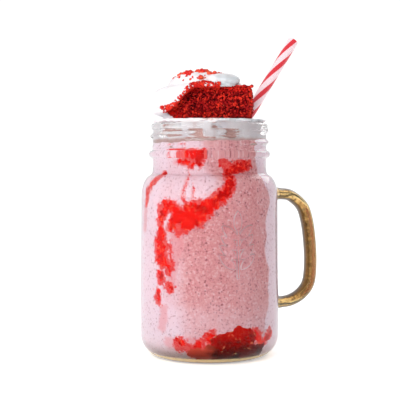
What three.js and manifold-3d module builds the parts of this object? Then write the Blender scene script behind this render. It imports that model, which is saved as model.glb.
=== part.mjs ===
// A strawberry milkshake served in a handled glass drinking jar, with whipped cream, a wedge of
// red sponge cake, red crumbs and a striped straw.
// Millimetres, +Z up. The origin is the middle of the jar's flat foot, the handle points along +X.

import * as THREE from 'three';
import { mergeVertices } from 'three/addons/utils/BufferGeometryUtils.js';
import Module from 'manifold-3d';

const wasm = await Module();
wasm.setup();

// Jar: outside
const JAR_HEIGHT = 134;
const FOOT_RADIUS = 28;
const HEEL_RADIUS = 12;
const BODY_RADIUS = 40.2;
const BODY_TOP_RADIUS = 39.6;
const BODY_MIDDLE = 40;
const SHOULDER_START = 92;
const SHOULDER_RISE = 12.5;
const NECK_RADIUS = 33;
const NECK_START = 106.5;
const COLLAR_HEIGHT = 116.2;
const COLLAR_BEAD = 2.2;
const LIP_START = 131.2;
const LIP_STAND = 0.8;
const LIP_ROUND = 1.4;

// Jar: inside
const BASE_THICKNESS = 6.5;
const INNER_HEEL_RADIUS = 10;
const INNER_BODY_RADIUS = 36.2;
const INNER_NECK_RADIUS = 29.8;
const INNER_SHOULDER_START = 90;
const INNER_SHOULDER_RISE = 13.5;
const MOUTH_CHAMFER = 1;

// Jar: screw thread on the neck
const THREAD_PITCH = 6.35;
const THREAD_START = 120;
const THREAD_TURNS = 1.6;
const THREAD_START_ANGLE = 150;
const THREAD_BEAD = 1.5;

// Jar: handle, a flattened bar that leaves the shoulder and comes back near the heel
const HANDLE_HALF_THICKNESS = 3.4;
const HANDLE_HALF_WIDTH = 5.25;
const HANDLE_TOP = 92.6;
const HANDLE_FOOT = 27.7;
const HANDLE_REACH = 66.4;
const HANDLE_ROOT_DEPTH = 38;
const HANDLE_FLARE_LENGTH = 9;
const HANDLE_FLARE_GROWTH = 1.45;

// Jar: raised sprig of leaves on the wall, facing -Y
const SPRIG_LOW = 51;
const SPRIG_HIGH = 85;
const LEAF_PAIRS = 4;
const LEAF_HALF_LENGTH = 6;
const LEAF_HALF_WIDTH = 2.6;
const LEAF_HALF_THICKNESS = 1.1;

// The food is laid out as it is seen from the front of the serving, which is turned from the jar
const SERVING_TURN = -23;
const GAP = 0.3;

// Drink and its syrup
const DRINK_LEVEL = 123;
const SYRUP_BEAD = 3.4;
const SYRUP_INSET = 1;

// Whipped cream
const CREAM_SKIRT_RADIUS = 33.2;
const CREAM_SKIRT_HEIGHT = 2;
const CREAM_RADIUS = 28.5;
const CREAM_MIDDLE = 143;
const CREAM_DEPTH = 8.6;
const CREAM_RISE = 22;
const CREAM_CROWN = 0.8;
const CREAM_BACK = 4.5;
const CREAM_LOW_SHIFT = -7;
const CREAM_HIGH_SHIFT = -2.5;
const CREAM_ROPES = 5;
const CREAM_FOLD = 4.2;
const CRUMB_COUNT = 26;
const CRUMB_LARGE = 2.8;
const CRUMB_SMALL = 1.3;

// Cake wedge: its cut side faces the front, its thin tip points left
const CAKE_LEFT = -24.5;
const CAKE_RIGHT = 25.5;
const CAKE_FRONT = -13;
const CAKE_TIP_DEPTH = 6;
const CAKE_CRUST_DEPTH = 27;
const CAKE_BASE = 136.8;
const CAKE_TIP_HEIGHT = 5;
const CAKE_HEIGHT = 18.6;
const CAKE_FULL_AT = 0.32;
const CAKE_CRUMB = 0.55;
const CAKE_CLEARANCE = 0.9;

// Straw: where its axis passes the height of the lip, its lean for each millimetre of rise, its ends
const STRAW_RADIUS = 3.25;
const STRAW_BORE = 2.75;
const STRAW_AT_LIP = [20, 16.6];
const STRAW_LEAN = [0.61, 0.507];
const STRAW_LOW = 68;
const STRAW_HIGH = 186.5;

// Strawberry half that lies on the floor of the jar against the wall
const BERRY_ANGLE = 22.5;
const BERRY_DISTANCE = 30.5;
const BERRY_HEIGHT = 14.8;
const BERRY_HALF_SIZE = [13.5, 11, 8];

// Syrup that has run down to the floor round the strawberry
const POOL_ANGLE = 20;
const POOL_DISTANCE = 27;
const POOL_HEIGHT = 6;
const POOL_HALF_SIZE = [21, 11, 7];

const ROUND_STEPS = 44;
const FOOD_STEPS = 36;
const RANDOM_SEED = 7;

// Repeatable random numbers from 0 to 1
function makeRandom(seed) {
  let state = seed;
  return () => {
    state = (state * 1664525 + 1013904223) % 4294967296;
    return state / 4294967296;
  };
}

const random = makeRandom(RANDOM_SEED);

function radians(degrees) {
  return THREE.MathUtils.degToRad(degrees);
}

// A closed three.js geometry as a solid that can be joined and cut
function solid(geometry) {
  geometry.deleteAttribute('normal');
  geometry.deleteAttribute('uv');
  const merged = mergeVertices(geometry, 1e-4);
  return new wasm.Manifold(new wasm.Mesh({
    numProp: 3,
    vertProperties: new Float32Array(merged.attributes.position.array),
    triVerts: new Uint32Array(merged.index.array),
  }));
}

// The solid back as a three.js geometry
function geometryOf(shape) {
  const mesh = shape.getMesh();
  const geometry = new THREE.BufferGeometry();
  geometry.setAttribute('position', new THREE.BufferAttribute(mesh.vertProperties, mesh.numProp));
  geometry.setIndex(new THREE.BufferAttribute(mesh.triVerts, 1));
  geometry.computeVertexNormals();
  return geometry;
}

// Points of an elliptical arc in the radius and height plane
function arc(centre, halfSizes, fromDegrees, toDegrees, steps) {
  const points = [];
  for (let i = 0; i <= steps; i += 1) {
    const angle = radians(fromDegrees + (toDegrees - fromDegrees) * i / steps);
    points.push([
      centre[0] + halfSizes[0] * Math.cos(angle),
      centre[1] + halfSizes[1] * Math.sin(angle),
    ]);
  }
  return points;
}

// Turns a profile of radius and height round the Z axis
function turned(profile, steps = ROUND_STEPS) {
  const points = profile.map(([radius, height]) => new THREE.Vector2(radius, height));
  const geometry = new THREE.LatheGeometry(points, steps);
  geometry.rotateX(Math.PI / 2);
  return geometry;
}

// An ellipse with few sides, as the section of a swept bar
function ovalSection(halfWidth, halfHeight, sides) {
  const points = [];
  for (let i = 0; i < sides; i += 1) {
    const angle = 2 * Math.PI * i / sides;
    points.push(new THREE.Vector2(halfWidth * Math.cos(angle), halfHeight * Math.sin(angle)));
  }
  return new THREE.Shape(points);
}

function swept(section, curve, steps) {
  return new THREE.ExtrudeGeometry(section, { steps, bevelEnabled: false, extrudePath: curve });
}

// A closed round body whose surface is given by an angle round Z and a latitude from -90 to 90 degrees
function blob(columns, rows, place) {
  const geometry = new THREE.SphereGeometry(1, columns, rows);
  geometry.rotateX(Math.PI / 2);
  const position = geometry.attributes.position;
  const point = new THREE.Vector3();
  for (let i = 0; i < position.count; i += 1) {
    point.fromBufferAttribute(position, i);
    const latitude = Math.asin(THREE.MathUtils.clamp(point.z, -1, 1));
    const [x, y, z] = place(Math.atan2(point.y, point.x), latitude);
    position.setXYZ(i, x, y, z);
  }
  return geometry;
}

// The shoulder inside and out is a quarter of an ellipse that ends at the neck
function outerProfile() {
  const shoulder = [BODY_TOP_RADIUS - NECK_RADIUS, SHOULDER_RISE];
  const lip = NECK_RADIUS + LIP_STAND;
  return [
    [0, 0],
    [FOOT_RADIUS, 0],
    ...arc([FOOT_RADIUS, HEEL_RADIUS], [HEEL_RADIUS, HEEL_RADIUS], -72, 0, 4),
    [BODY_RADIUS, BODY_MIDDLE],
    ...arc([NECK_RADIUS, SHOULDER_START], shoulder, 0, 82, 6),
    [NECK_RADIUS, NECK_START],
    ...arc([NECK_RADIUS, COLLAR_HEIGHT], [COLLAR_BEAD, COLLAR_BEAD], -90, 90, 6),
    [NECK_RADIUS, LIP_START - LIP_STAND],
    [lip, LIP_START],
    ...arc([lip - LIP_ROUND, JAR_HEIGHT - LIP_ROUND], [LIP_ROUND, LIP_ROUND], 0, 90, 3),
    [0, JAR_HEIGHT],
  ];
}

// The hollow of the jar up to a height, drawn in from the glass by a gap
function hollowProfile(gap, top) {
  const neck = INNER_NECK_RADIUS - gap;
  const body = INNER_BODY_RADIUS - gap;
  const heel = INNER_HEEL_RADIUS - gap;
  const heelCentre = [INNER_BODY_RADIUS - INNER_HEEL_RADIUS, BASE_THICKNESS + INNER_HEEL_RADIUS];
  return [
    [0, BASE_THICKNESS + gap],
    ...arc(heelCentre, [heel, heel], -90, 0, 5),
    ...arc([neck, INNER_SHOULDER_START], [body - neck, INNER_SHOULDER_RISE], 0, 90, 6),
    [neck, top],
    [0, top],
  ];
}

// Radius of the hollow at a height, for what clings to the wall
function hollowRadius(height) {
  const heelTop = BASE_THICKNESS + INNER_HEEL_RADIUS;
  if (height < heelTop) {
    const drop = heelTop - height;
    return INNER_BODY_RADIUS - INNER_HEEL_RADIUS + Math.sqrt(INNER_HEEL_RADIUS ** 2 - drop ** 2);
  }
  if (height < INNER_SHOULDER_START) {
    return INNER_BODY_RADIUS;
  }
  const rise = Math.min(1, (height - INNER_SHOULDER_START) / INNER_SHOULDER_RISE);
  return INNER_NECK_RADIUS + (INNER_BODY_RADIUS - INNER_NECK_RADIUS) * Math.sqrt(1 - rise ** 2);
}

// A place given by an angle from the front of the serving, a distance from the axis and a height
function servingPoint(degrees, distance, height) {
  const angle = radians(degrees);
  return new THREE.Vector3(distance * Math.sin(angle), -distance * Math.cos(angle), height);
}

function threadRidge() {
  const points = [];
  const steps = 32 * THREAD_TURNS;
  for (let i = 0; i <= steps; i += 1) {
    const turn = i / steps * THREAD_TURNS;
    const fade = Math.min(1, turn / 0.12, (THREAD_TURNS - turn) / 0.12);
    const radius = NECK_RADIUS - THREAD_BEAD * (1 - fade);
    const angle = radians(THREAD_START_ANGLE) + 2 * Math.PI * turn;
    points.push(new THREE.Vector3(
      radius * Math.cos(angle),
      radius * Math.sin(angle),
      THREAD_START + THREAD_PITCH * turn,
    ));
  }
  const section = ovalSection(THREAD_BEAD, THREAD_BEAD, 6);
  return solid(swept(section, new THREE.CatmullRomCurve3(points), Math.round(steps)));
}

function handleBar() {
  const bend = HANDLE_REACH - 1.4;
  const curve = new THREE.CatmullRomCurve3([
    new THREE.Vector3(HANDLE_ROOT_DEPTH, 0, HANDLE_TOP),
    new THREE.Vector3(46, 0, HANDLE_TOP - 0.1),
    new THREE.Vector3(53, 0, HANDLE_TOP - 1.4),
    new THREE.Vector3(60.5, 0, HANDLE_TOP - 7.6),
    new THREE.Vector3(63.8, 0, HANDLE_TOP - 16),
    new THREE.Vector3(65.7, 0, HANDLE_TOP - 28),
    new THREE.Vector3(HANDLE_REACH, 0, HANDLE_TOP - 42),
    new THREE.Vector3(bend, 0, HANDLE_FOOT + 11),
    new THREE.Vector3(60, 0, HANDLE_FOOT + 4.5),
    new THREE.Vector3(53, 0, HANDLE_FOOT + 0.9),
    new THREE.Vector3(46, 0, HANDLE_FOOT),
    new THREE.Vector3(HANDLE_ROOT_DEPTH, 0, HANDLE_FOOT),
  ]);
  const section = ovalSection(HANDLE_HALF_WIDTH, HANDLE_HALF_THICKNESS, 12);
  return solid(swept(section, curve, 28));
}

// The glass swells where the handle meets the wall
function handleFlare(height) {
  const width = HANDLE_HALF_WIDTH * HANDLE_FLARE_GROWTH;
  const thickness = HANDLE_HALF_THICKNESS * HANDLE_FLARE_GROWTH;
  const taper = 1 - 1 / HANDLE_FLARE_GROWTH;
  const steps = 4;
  const profile = [[0, 0]];
  for (let i = 0; i <= steps; i += 1) {
    const along = i / steps;
    profile.push([1 - taper * Math.sin(along * Math.PI / 2), HANDLE_FLARE_LENGTH * along]);
  }
  profile.push([0, HANDLE_FLARE_LENGTH]);
  const geometry = turned(profile, 12);
  geometry.scale(thickness, width, 1);
  geometry.rotateY(Math.PI / 2);
  geometry.translate(HANDLE_ROOT_DEPTH, 0, height);
  return solid(geometry);
}

// One raised leaf, lying on the wall at an angle to the upright stem
function leaf(aroundWall, height, tilt) {
  const geometry = blob(6, 4, (angle, latitude) => {
    const along = Math.sin(latitude);
    const across = Math.cos(latitude);
    return [
      LEAF_HALF_WIDTH * across * Math.cos(angle),
      LEAF_HALF_THICKNESS * across * Math.sin(angle),
      LEAF_HALF_LENGTH * along,
    ];
  });
  geometry.rotateY(tilt);
  geometry.translate(0, -BODY_RADIUS + 0.3, height);
  geometry.rotateZ(aroundWall);
  return solid(geometry);
}

function sprig() {
  const parts = [leaf(0, SPRIG_HIGH - LEAF_HALF_LENGTH, 0)];
  const step = (SPRIG_HIGH - SPRIG_LOW - 3 * LEAF_HALF_LENGTH) / (LEAF_PAIRS - 1);
  for (let i = 0; i < LEAF_PAIRS; i += 1) {
    const height = SPRIG_LOW + LEAF_HALF_LENGTH + step * i;
    for (const side of [-1, 1]) {
      parts.push(leaf(side * (0.15 - 0.012 * i), height, side * 0.85));
    }
  }
  const stem = turned([[0, 0], [0.9, 0], [0.6, SPRIG_HIGH - SPRIG_LOW], [0, SPRIG_HIGH - SPRIG_LOW]], 8);
  stem.translate(0, -BODY_RADIUS + 0.1, SPRIG_LOW - 3);
  parts.push(solid(stem));
  return parts;
}

function jar() {
  let glass = solid(turned(outerProfile()));
  const additions = [
    threadRidge(),
    handleBar(),
    handleFlare(HANDLE_TOP),
    handleFlare(HANDLE_FOOT),
    ...sprig(),
  ];
  for (const addition of additions) {
    glass = glass.add(addition);
  }
  const mouth = [
    [0, JAR_HEIGHT - MOUTH_CHAMFER],
    [INNER_NECK_RADIUS, JAR_HEIGHT - MOUTH_CHAMFER],
    [INNER_NECK_RADIUS + 3 * MOUTH_CHAMFER, JAR_HEIGHT + 2 * MOUTH_CHAMFER],
    [0, JAR_HEIGHT + 2 * MOUTH_CHAMFER],
  ];
  return glass
    .subtract(solid(turned(hollowProfile(0, JAR_HEIGHT))))
    .subtract(solid(turned(mouth)));
}

// The axis of the straw at a height
function strawPoint(height) {
  const rise = height - JAR_HEIGHT;
  return new THREE.Vector3(
    STRAW_AT_LIP[0] + STRAW_LEAN[0] * rise,
    STRAW_AT_LIP[1] + STRAW_LEAN[1] * rise,
    height,
  );
}

// Lays a body that stands on the origin along the straw's axis
function alongStraw(geometry) {
  const low = strawPoint(STRAW_LOW);
  const direction = strawPoint(STRAW_HIGH).sub(low).normalize();
  const turn = new THREE.Quaternion().setFromUnitVectors(new THREE.Vector3(0, 0, 1), direction);
  geometry.applyQuaternion(turn);
  geometry.translate(low.x, low.y, low.z);
  return solid(geometry);
}

const STRAW_LENGTH = strawPoint(STRAW_HIGH).distanceTo(strawPoint(STRAW_LOW));

function straw() {
  return alongStraw(turned([
    [STRAW_BORE, 0],
    [STRAW_RADIUS, 0],
    [STRAW_RADIUS, STRAW_LENGTH],
    [STRAW_BORE, STRAW_LENGTH],
    [STRAW_BORE, 0],
  ], 16));
}

function strawRoom() {
  const radius = STRAW_RADIUS + GAP;
  return alongStraw(turned([[0, -GAP], [radius, -GAP], [radius, STRAW_LENGTH], [0, STRAW_LENGTH]], 16));
}

// A body of half sizes across, towards the axis and up, at a place on the floor of the jar
function floorBlob(halfSizes, degrees, distance, height, grow, columns, rows) {
  const [across, deep, up] = halfSizes.map((size) => size + grow);
  const geometry = blob(columns, rows, (angle, latitude) => [
    across * Math.cos(latitude) * Math.cos(angle),
    deep * Math.cos(latitude) * Math.sin(angle),
    up * Math.sin(latitude),
  ]);
  geometry.rotateZ(radians(degrees));
  const place = servingPoint(degrees, distance, height);
  geometry.translate(place.x, place.y, place.z);
  return solid(geometry);
}

function berryBody(grow) {
  return floorBlob(BERRY_HALF_SIZE, BERRY_ANGLE, BERRY_DISTANCE, BERRY_HEIGHT, grow, 16, 10);
}

function poolBody(grow) {
  return floorBlob(POOL_HALF_SIZE, POOL_ANGLE, POOL_DISTANCE, POOL_HEIGHT, grow, 20, 8);
}

// The run of syrup on the inside of the wall: down from the shoulder, across to the left, down again
const SYRUP_COURSE = [
  [20, 105], [17, 98], [8, 91], [-4, 86], [-15, 83], [-27, 85], [-38, 86],
  [-45, 80], [-47, 70], [-46, 60], [-43, 52],
];

function syrupRun(grow) {
  const points = SYRUP_COURSE.map(([degrees, height]) => {
    return servingPoint(degrees, hollowRadius(height) - SYRUP_INSET, height);
  });
  const radius = SYRUP_BEAD + grow;
  const bead = solid(swept(ovalSection(radius, radius, 8), new THREE.CatmullRomCurve3(points), 34));
  const [middle, height] = [-14, 84];
  const thick = blob(12, 8, (angle, latitude) => [
    (11 + grow) * Math.cos(latitude) * Math.cos(angle),
    (SYRUP_BEAD + grow) * Math.cos(latitude) * Math.sin(angle),
    (6 + grow) * Math.sin(latitude),
  ]);
  thick.rotateZ(radians(middle));
  const place = servingPoint(middle, INNER_BODY_RADIUS - SYRUP_INSET, height);
  thick.translate(place.x, place.y, place.z);
  return bead.add(solid(thick));
}

function drinkSpace() {
  return solid(turned(hollowProfile(GAP, DRINK_LEVEL), FOOD_STEPS));
}

// Pieces of the cake are placed by three numbers from -1 to 1: along, into its depth and up
function cakePoint(along, into, up, clearance, reachForward) {
  const share = (along + 1) / 2;
  const grown = THREE.MathUtils.smoothstep(share, 0, CAKE_FULL_AT);
  const depth = THREE.MathUtils.lerp(CAKE_TIP_DEPTH, CAKE_CRUST_DEPTH, share);
  const height = THREE.MathUtils.lerp(CAKE_TIP_HEIGHT, CAKE_HEIGHT, grown);
  const tipLift = 2.4 * (1 - THREE.MathUtils.smoothstep(share, 0, 0.12));
  return [
    THREE.MathUtils.lerp(CAKE_LEFT, CAKE_RIGHT, share) + clearance * along,
    CAKE_FRONT - reachForward * (1 - into) / 2 + depth * (into + 1) / 2 + clearance * into,
    CAKE_BASE - GAP + tipLift * (1 - up) / 2 + height * (up + 1) / 2 + clearance * up,
  ];
}

// A box of small squares, each of its points moved by a function
function shapedBox(divisions, place) {
  const geometry = new THREE.BoxGeometry(2, 2, 2, ...divisions);
  const position = geometry.attributes.position;
  for (let i = 0; i < position.count; i += 1) {
    const [x, y, z] = place(position.getX(i), position.getY(i), position.getZ(i));
    position.setXYZ(i, x, y, z);
  }
  return geometry;
}

// A rough value from -1 to 1 that depends only on the place, so shared edges stay closed
function roughness(x, y, z) {
  const wave = Math.sin(x * 12.9898 + y * 78.233 + z * 37.719) * 43758.5453;
  return 2 * (wave - Math.floor(wave)) - 1;
}

function cake() {
  const rounding = 0.24;
  const geometry = shapedBox([15, 8, 6], (x, y, z) => {
    const length = Math.hypot(x, y, z);
    const soften = 1 - rounding + rounding / length;
    const [a, b, c] = cakePoint(x * soften, y * soften, z * soften, 0, 0);
    return [
      a + CAKE_CRUMB * roughness(x, y, z),
      b + CAKE_CRUMB * roughness(y, z, x),
      c + CAKE_CRUMB * roughness(z, x, y),
    ];
  });
  return solid(geometry);
}

// The room that the cake takes in the cream, open to the front
function cakeRoom() {
  const open = 40;
  return solid(shapedBox([15, 4, 1], (x, y, z) => cakePoint(x, y, z, CAKE_CLEARANCE, open)));
}

// The mound of cream: a rope of cream wound up to a soft peak, so its side has slanting folds
function creamPoint(angle, latitude) {
  const share = latitude / Math.PI + 0.5;
  const rope = share * CREAM_ROPES - angle / (2 * Math.PI);
  const across = 2 * (rope - Math.floor(rope)) - 1;
  const fold = CREAM_FOLD * (1 - share ** 6) * across ** 2;
  const rise = Math.sin(latitude);
  const lift = rise > 0 ? rise ** CREAM_CROWN * (CREAM_RISE - fold) : rise * CREAM_DEPTH;
  const radius = (CREAM_RADIUS - fold) * Math.cos(latitude);
  const shift = THREE.MathUtils.lerp(CREAM_LOW_SHIFT, CREAM_HIGH_SHIFT, Math.max(0, rise));
  return [shift + radius * Math.cos(angle), CREAM_BACK + radius * Math.sin(angle), CREAM_MIDDLE + lift];
}

// One rough crumb, half sunk in the cream
function crumb(place, size) {
  const rough = new THREE.IcosahedronGeometry(size, 0);
  rough.deleteAttribute('normal');
  rough.deleteAttribute('uv');
  const geometry = mergeVertices(rough);
  const position = geometry.attributes.position;
  for (let i = 0; i < position.count; i += 1) {
    const swell = 0.75 + 0.45 * random();
    position.setXYZ(i, position.getX(i) * swell, position.getY(i) * swell, position.getZ(i) * swell);
  }
  geometry.translate(...place);
  return solid(geometry);
}

// Crumbs lie in a band round the top of the mound, most of them at the front, the largest first
function crumbs() {
  const pieces = [];
  for (let i = 0; i < CRUMB_COUNT; i += 1) {
    const size = THREE.MathUtils.lerp(CRUMB_LARGE, CRUMB_SMALL, Math.sqrt(i / CRUMB_COUNT));
    const front = i % 4 !== 3;
    const angle = radians(front ? -155 + 115 * random() : 360 * random());
    const latitude = radians(50 + 32 * random());
    pieces.push(crumb(creamPoint(angle, latitude), size));
  }
  return pieces;
}

function whippedCream() {
  const neck = INNER_NECK_RADIUS - GAP;
  const lipTop = JAR_HEIGHT + GAP;
  const skirtMiddle = lipTop + CREAM_SKIRT_HEIGHT / 2;
  const skirt = [
    [0, DRINK_LEVEL + GAP],
    [neck, DRINK_LEVEL + GAP],
    [neck, JAR_HEIGHT - MOUTH_CHAMFER - GAP],
    [neck + MOUTH_CHAMFER, lipTop + 0.1],
    ...arc([CREAM_SKIRT_RADIUS - 1.5, skirtMiddle], [1.5, CREAM_SKIRT_HEIGHT / 2 - 0.1], -90, 60, 3),
    [CREAM_SKIRT_RADIUS - 6, lipTop + CREAM_SKIRT_HEIGHT],
    [0, lipTop + CREAM_SKIRT_HEIGHT],
  ];
  let cream = solid(turned(skirt, FOOD_STEPS)).add(solid(blob(FOOD_STEPS, 26, creamPoint)));
  cream = cream.subtract(cakeRoom()).subtract(strawRoom());
  for (const piece of crumbs()) {
    cream = cream.add(piece);
  }
  return cream;
}

function buildFood() {
  const space = drinkSpace();
  const berry = berryBody(0).intersect(space);
  const pool = poolBody(0).subtract(berryBody(GAP)).intersect(space);
  const run = syrupRun(0).intersect(space);
  const drink = space
    .subtract(strawRoom())
    .subtract(berryBody(GAP))
    .subtract(poolBody(GAP))
    .subtract(syrupRun(GAP));
  return { drink, berry, pool, run };
}

function finish(color, roughnessValue, transparent = false) {
  return new THREE.MeshStandardMaterial({
    color,
    roughness: roughnessValue,
    metalness: 0,
    transparent,
    opacity: transparent ? 0.35 : 1,
  });
}

function piece(name, shape, material) {
  const mesh = new THREE.Mesh(geometryOf(shape), material);
  mesh.name = name;
  return mesh;
}

const food = buildFood();

const serving = new THREE.Group();
serving.rotation.z = radians(SERVING_TURN);
serving.add(
  piece('milkshake', food.drink, finish(0xd29a9c, 0.5)),
  piece('syrup_run', food.run, finish(0xdf2021, 0.25)),
  piece('strawberry', food.berry, finish(0x9b1710, 0.35)),
  piece('syrup_pool', food.pool, finish(0x520f09, 0.25)),
  piece('whipped_cream', whippedCream(), finish(0xf4ecee, 0.6)),
  piece('cake', cake(), finish(0x901a1b, 0.95)),
  piece('straw', straw(), finish(0xf2dede, 0.5)),
);

const group = new THREE.Group();
group.add(piece('jar', jar(), finish(0xe9eef2, 0.05, true)), serving);

export default group;
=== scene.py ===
"""A strawberry milkshake in a handled glass jar, dressed round its fixed frame.

Sizes are in millimetres and angles in degrees unless a name says otherwise. The jar is built in
the frame itself. The food is laid out as it is seen from the front of the serving, and turned
into the frame when its mesh is made.
"""
import itertools
import logging
import math
from collections.abc import Sequence
from dataclasses import dataclass
from enum import Enum
from typing import Any

import bmesh
import bpy
import numpy as np
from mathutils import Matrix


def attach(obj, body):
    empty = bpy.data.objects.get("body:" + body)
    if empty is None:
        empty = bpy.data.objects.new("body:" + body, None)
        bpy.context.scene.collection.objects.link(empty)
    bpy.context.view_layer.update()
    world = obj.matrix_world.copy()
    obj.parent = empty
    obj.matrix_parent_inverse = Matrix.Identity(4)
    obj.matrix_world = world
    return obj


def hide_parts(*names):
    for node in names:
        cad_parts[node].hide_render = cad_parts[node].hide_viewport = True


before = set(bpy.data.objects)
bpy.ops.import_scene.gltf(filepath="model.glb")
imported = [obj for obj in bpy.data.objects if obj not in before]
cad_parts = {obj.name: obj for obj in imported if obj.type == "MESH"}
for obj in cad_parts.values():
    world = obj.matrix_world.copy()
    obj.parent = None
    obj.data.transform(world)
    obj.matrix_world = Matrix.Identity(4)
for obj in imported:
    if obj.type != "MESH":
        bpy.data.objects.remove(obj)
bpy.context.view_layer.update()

LOG = logging.getLogger("milkshake")

MM = 0.001
SERVING_TURN = -23.0
BODY = "root"

Piece = bpy.types.Object
Material = bpy.types.Material
Socket = bpy.types.NodeSocket
Points = np.ndarray
Field = np.ndarray
Tone = tuple[float, float, float, float]
Inputs = dict[str | int, Any]
Settings = dict[str, Any]
Pair = tuple[float, float]


def tone(red: float, green: float, blue: float) -> Tone:
    """A colour given as it looks on a screen, from 0 to 255, as the linear values of a shader.

    Args:
        red: Red, 0 to 255.
        green: Green, 0 to 255.
        blue: Blue, 0 to 255.

    Returns:
        Linear red, green, blue and an alpha of 1.
    """
    channels = []
    for value in (red, green, blue):
        share = value / 255
        channels.append(share / 12.92 if share <= 0.04045 else ((share + 0.055) / 1.055) ** 2.4)
    return (channels[0], channels[1], channels[2], 1.0)


def smoothstep(low: float, high: float, values: Any) -> Any:
    """A soft step from 0 at low to 1 at high, for a number or an array; low may be the larger."""
    share = np.clip((values - low) / (high - low), 0.0, 1.0)
    return share * share * (3 - 2 * share)


def polar(degrees: Any, distance: Any, height: Any) -> Points:
    """Points of the serving: degrees to the right of its front, distance from the axis, height."""
    angle = np.radians(degrees)
    return np.stack(np.broadcast_arrays(distance * np.sin(angle), -distance * np.cos(angle), height), -1)


def turned(points: Points, degrees: float) -> Points:
    """Turns points round the upright axis.

    Args:
        points: Array whose last axis holds x, y and z.
        degrees: The turn, anticlockwise seen from above.

    Returns:
        The turned points.
    """
    angle = math.radians(degrees)
    made = np.array(points, dtype=float)
    made[..., 0] = points[..., 0] * math.cos(angle) - points[..., 1] * math.sin(angle)
    made[..., 1] = points[..., 0] * math.sin(angle) + points[..., 1] * math.cos(angle)
    return made


def serving(points: Points) -> Points:
    """Turns points of the serving into the frame."""
    return turned(points, SERVING_TURN)


def from_serving(points: Points) -> Points:
    """Turns points of the frame back into the serving."""
    return turned(points, -SERVING_TURN)


def on_axis(height: float) -> Points:
    """The point of the upright axis at a height."""
    return np.array([0.0, 0.0, height])


def full_turn(columns: int) -> np.ndarray:
    """Evenly spaced angles of a full turn, in radians."""
    return 2 * math.pi * np.arange(columns) / columns


def ring_points(radius: np.ndarray, height: np.ndarray, angle: np.ndarray) -> Points:
    """Points given by a radius, a height and an angle from +X in radians."""
    return np.stack([radius * np.cos(angle), radius * np.sin(angle), height], -1)


def spun(profile: np.ndarray, angles: np.ndarray) -> Sequence[np.ndarray]:
    """Turns a profile, without its two ends, into rings.

    Args:
        profile: Pairs of radius and height.
        angles: Angle of each column.

    Returns:
        Radius, height and angle, each an array of rings by columns.
    """
    return np.broadcast_arrays(profile[1:-1, :1], profile[1:-1, 1:], angles)


class Noise:
    """Smooth seeded noise in space for whole arrays of points."""

    def __init__(self, seed: int) -> None:
        """Draws the slopes that the noise is made of; the same seed gives the same noise."""
        rng = np.random.default_rng(seed)
        slopes = rng.normal(size=(256, 3))
        self._order = rng.permutation(256)
        self._slopes = slopes / np.linalg.norm(slopes, axis=1, keepdims=True)

    def at(self, points: Points, size: float) -> np.ndarray:
        """One layer of noise.

        Args:
            points: Points in a list, three numbers each.
            size: Width of one swell, in the points' own unit.

        Returns:
            A value for each point, about -1 to 1.
        """
        spot = points / size
        cell = np.floor(spot).astype(int)
        part = spot - cell
        fade = part**3 * (part * (part * 6 - 15) + 10)
        total = np.zeros(len(points))
        for corner in itertools.product((0, 1), repeat=3):
            where = (cell + corner) & 255
            key = self._order[(self._order[where[:, 0]] + where[:, 1]) & 255]
            key = self._order[(key + where[:, 2]) & 255]
            weight = np.prod(np.where(corner, fade, 1 - fade), axis=1)
            total += weight * np.einsum("ij,ij->i", self._slopes[key], part - corner)
        return total * 1.6

    def layered(self, points: Points, size: float, layers: int, gain: float = 0.5) -> np.ndarray:
        """Several layers of noise, each half the size of the last.

        Args:
            points: Points in a list.
            size: Width of the widest swell.
            layers: How many layers.
            gain: Strength of each layer against the last.

        Returns:
            A value for each point.
        """
        total = np.zeros(len(points))
        for layer in range(layers):
            total += gain**layer * self.at(points + 17.3 * layer, size / 2**layer)
        return total


def arc(centre: Pair, halves: Pair, start: float, end: float, steps: int) -> list[Pair]:
    """Points of an elliptical arc, from one angle to another, as pairs of radius and height."""
    angles = np.radians(np.linspace(start, end, steps + 1))
    return [(centre[0] + halves[0] * math.cos(a), centre[1] + halves[1] * math.sin(a)) for a in angles]


def refined(profile: Sequence[Pair], step: float) -> np.ndarray:
    """A profile with points added, so that no two neighbours lie further apart than a step.

    Args:
        profile: Pairs of radius and height.
        step: Largest distance between neighbours.

    Returns:
        An array of pairs.
    """
    made = [np.array(profile[0])]
    for start, end in itertools.pairwise(profile):
        count = max(1, math.ceil(math.dist(start, end) / step))
        for i in range(1, count + 1):
            made.append(np.array(start) + (np.array(end) - np.array(start)) * i / count)
    return np.array(made)


def smooth_path(points: Sequence[Sequence[float]], count: int) -> np.ndarray:
    """A smooth line through points, evenly sampled.

    Args:
        points: Points of any number of coordinates.
        count: How many samples are wanted.

    Returns:
        An array of samples.
    """
    given = np.array(points, dtype=float)
    padded = np.vstack([2 * given[0] - given[1], given, 2 * given[-1] - given[-2]])
    dense = []
    for i in range(len(given) - 1):
        a, b, c, d = padded[i : i + 4]
        for t in np.linspace(0, 1, 24, endpoint=False):
            part = 2 * b + (c - a) * t + (2 * a - 5 * b + 4 * c - d) * t**2
            dense.append(0.5 * (part + (3 * b - a - 3 * c + d) * t**3))
    dense.append(given[-1])
    line = np.array(dense)
    walked = np.concatenate([[0], np.cumsum(np.linalg.norm(np.diff(line, axis=0), axis=1))])
    wanted = np.linspace(0, walked[-1], count)
    return np.stack([np.interp(wanted, walked, line[:, k]) for k in range(line.shape[1])], -1)


def linked(name: str, data: bpy.types.ID) -> Piece:
    """A new object of the scene that shows a mesh, a light or a camera."""
    made = bpy.data.objects.new(name, data)
    bpy.context.scene.collection.objects.link(made)
    return made


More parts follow.
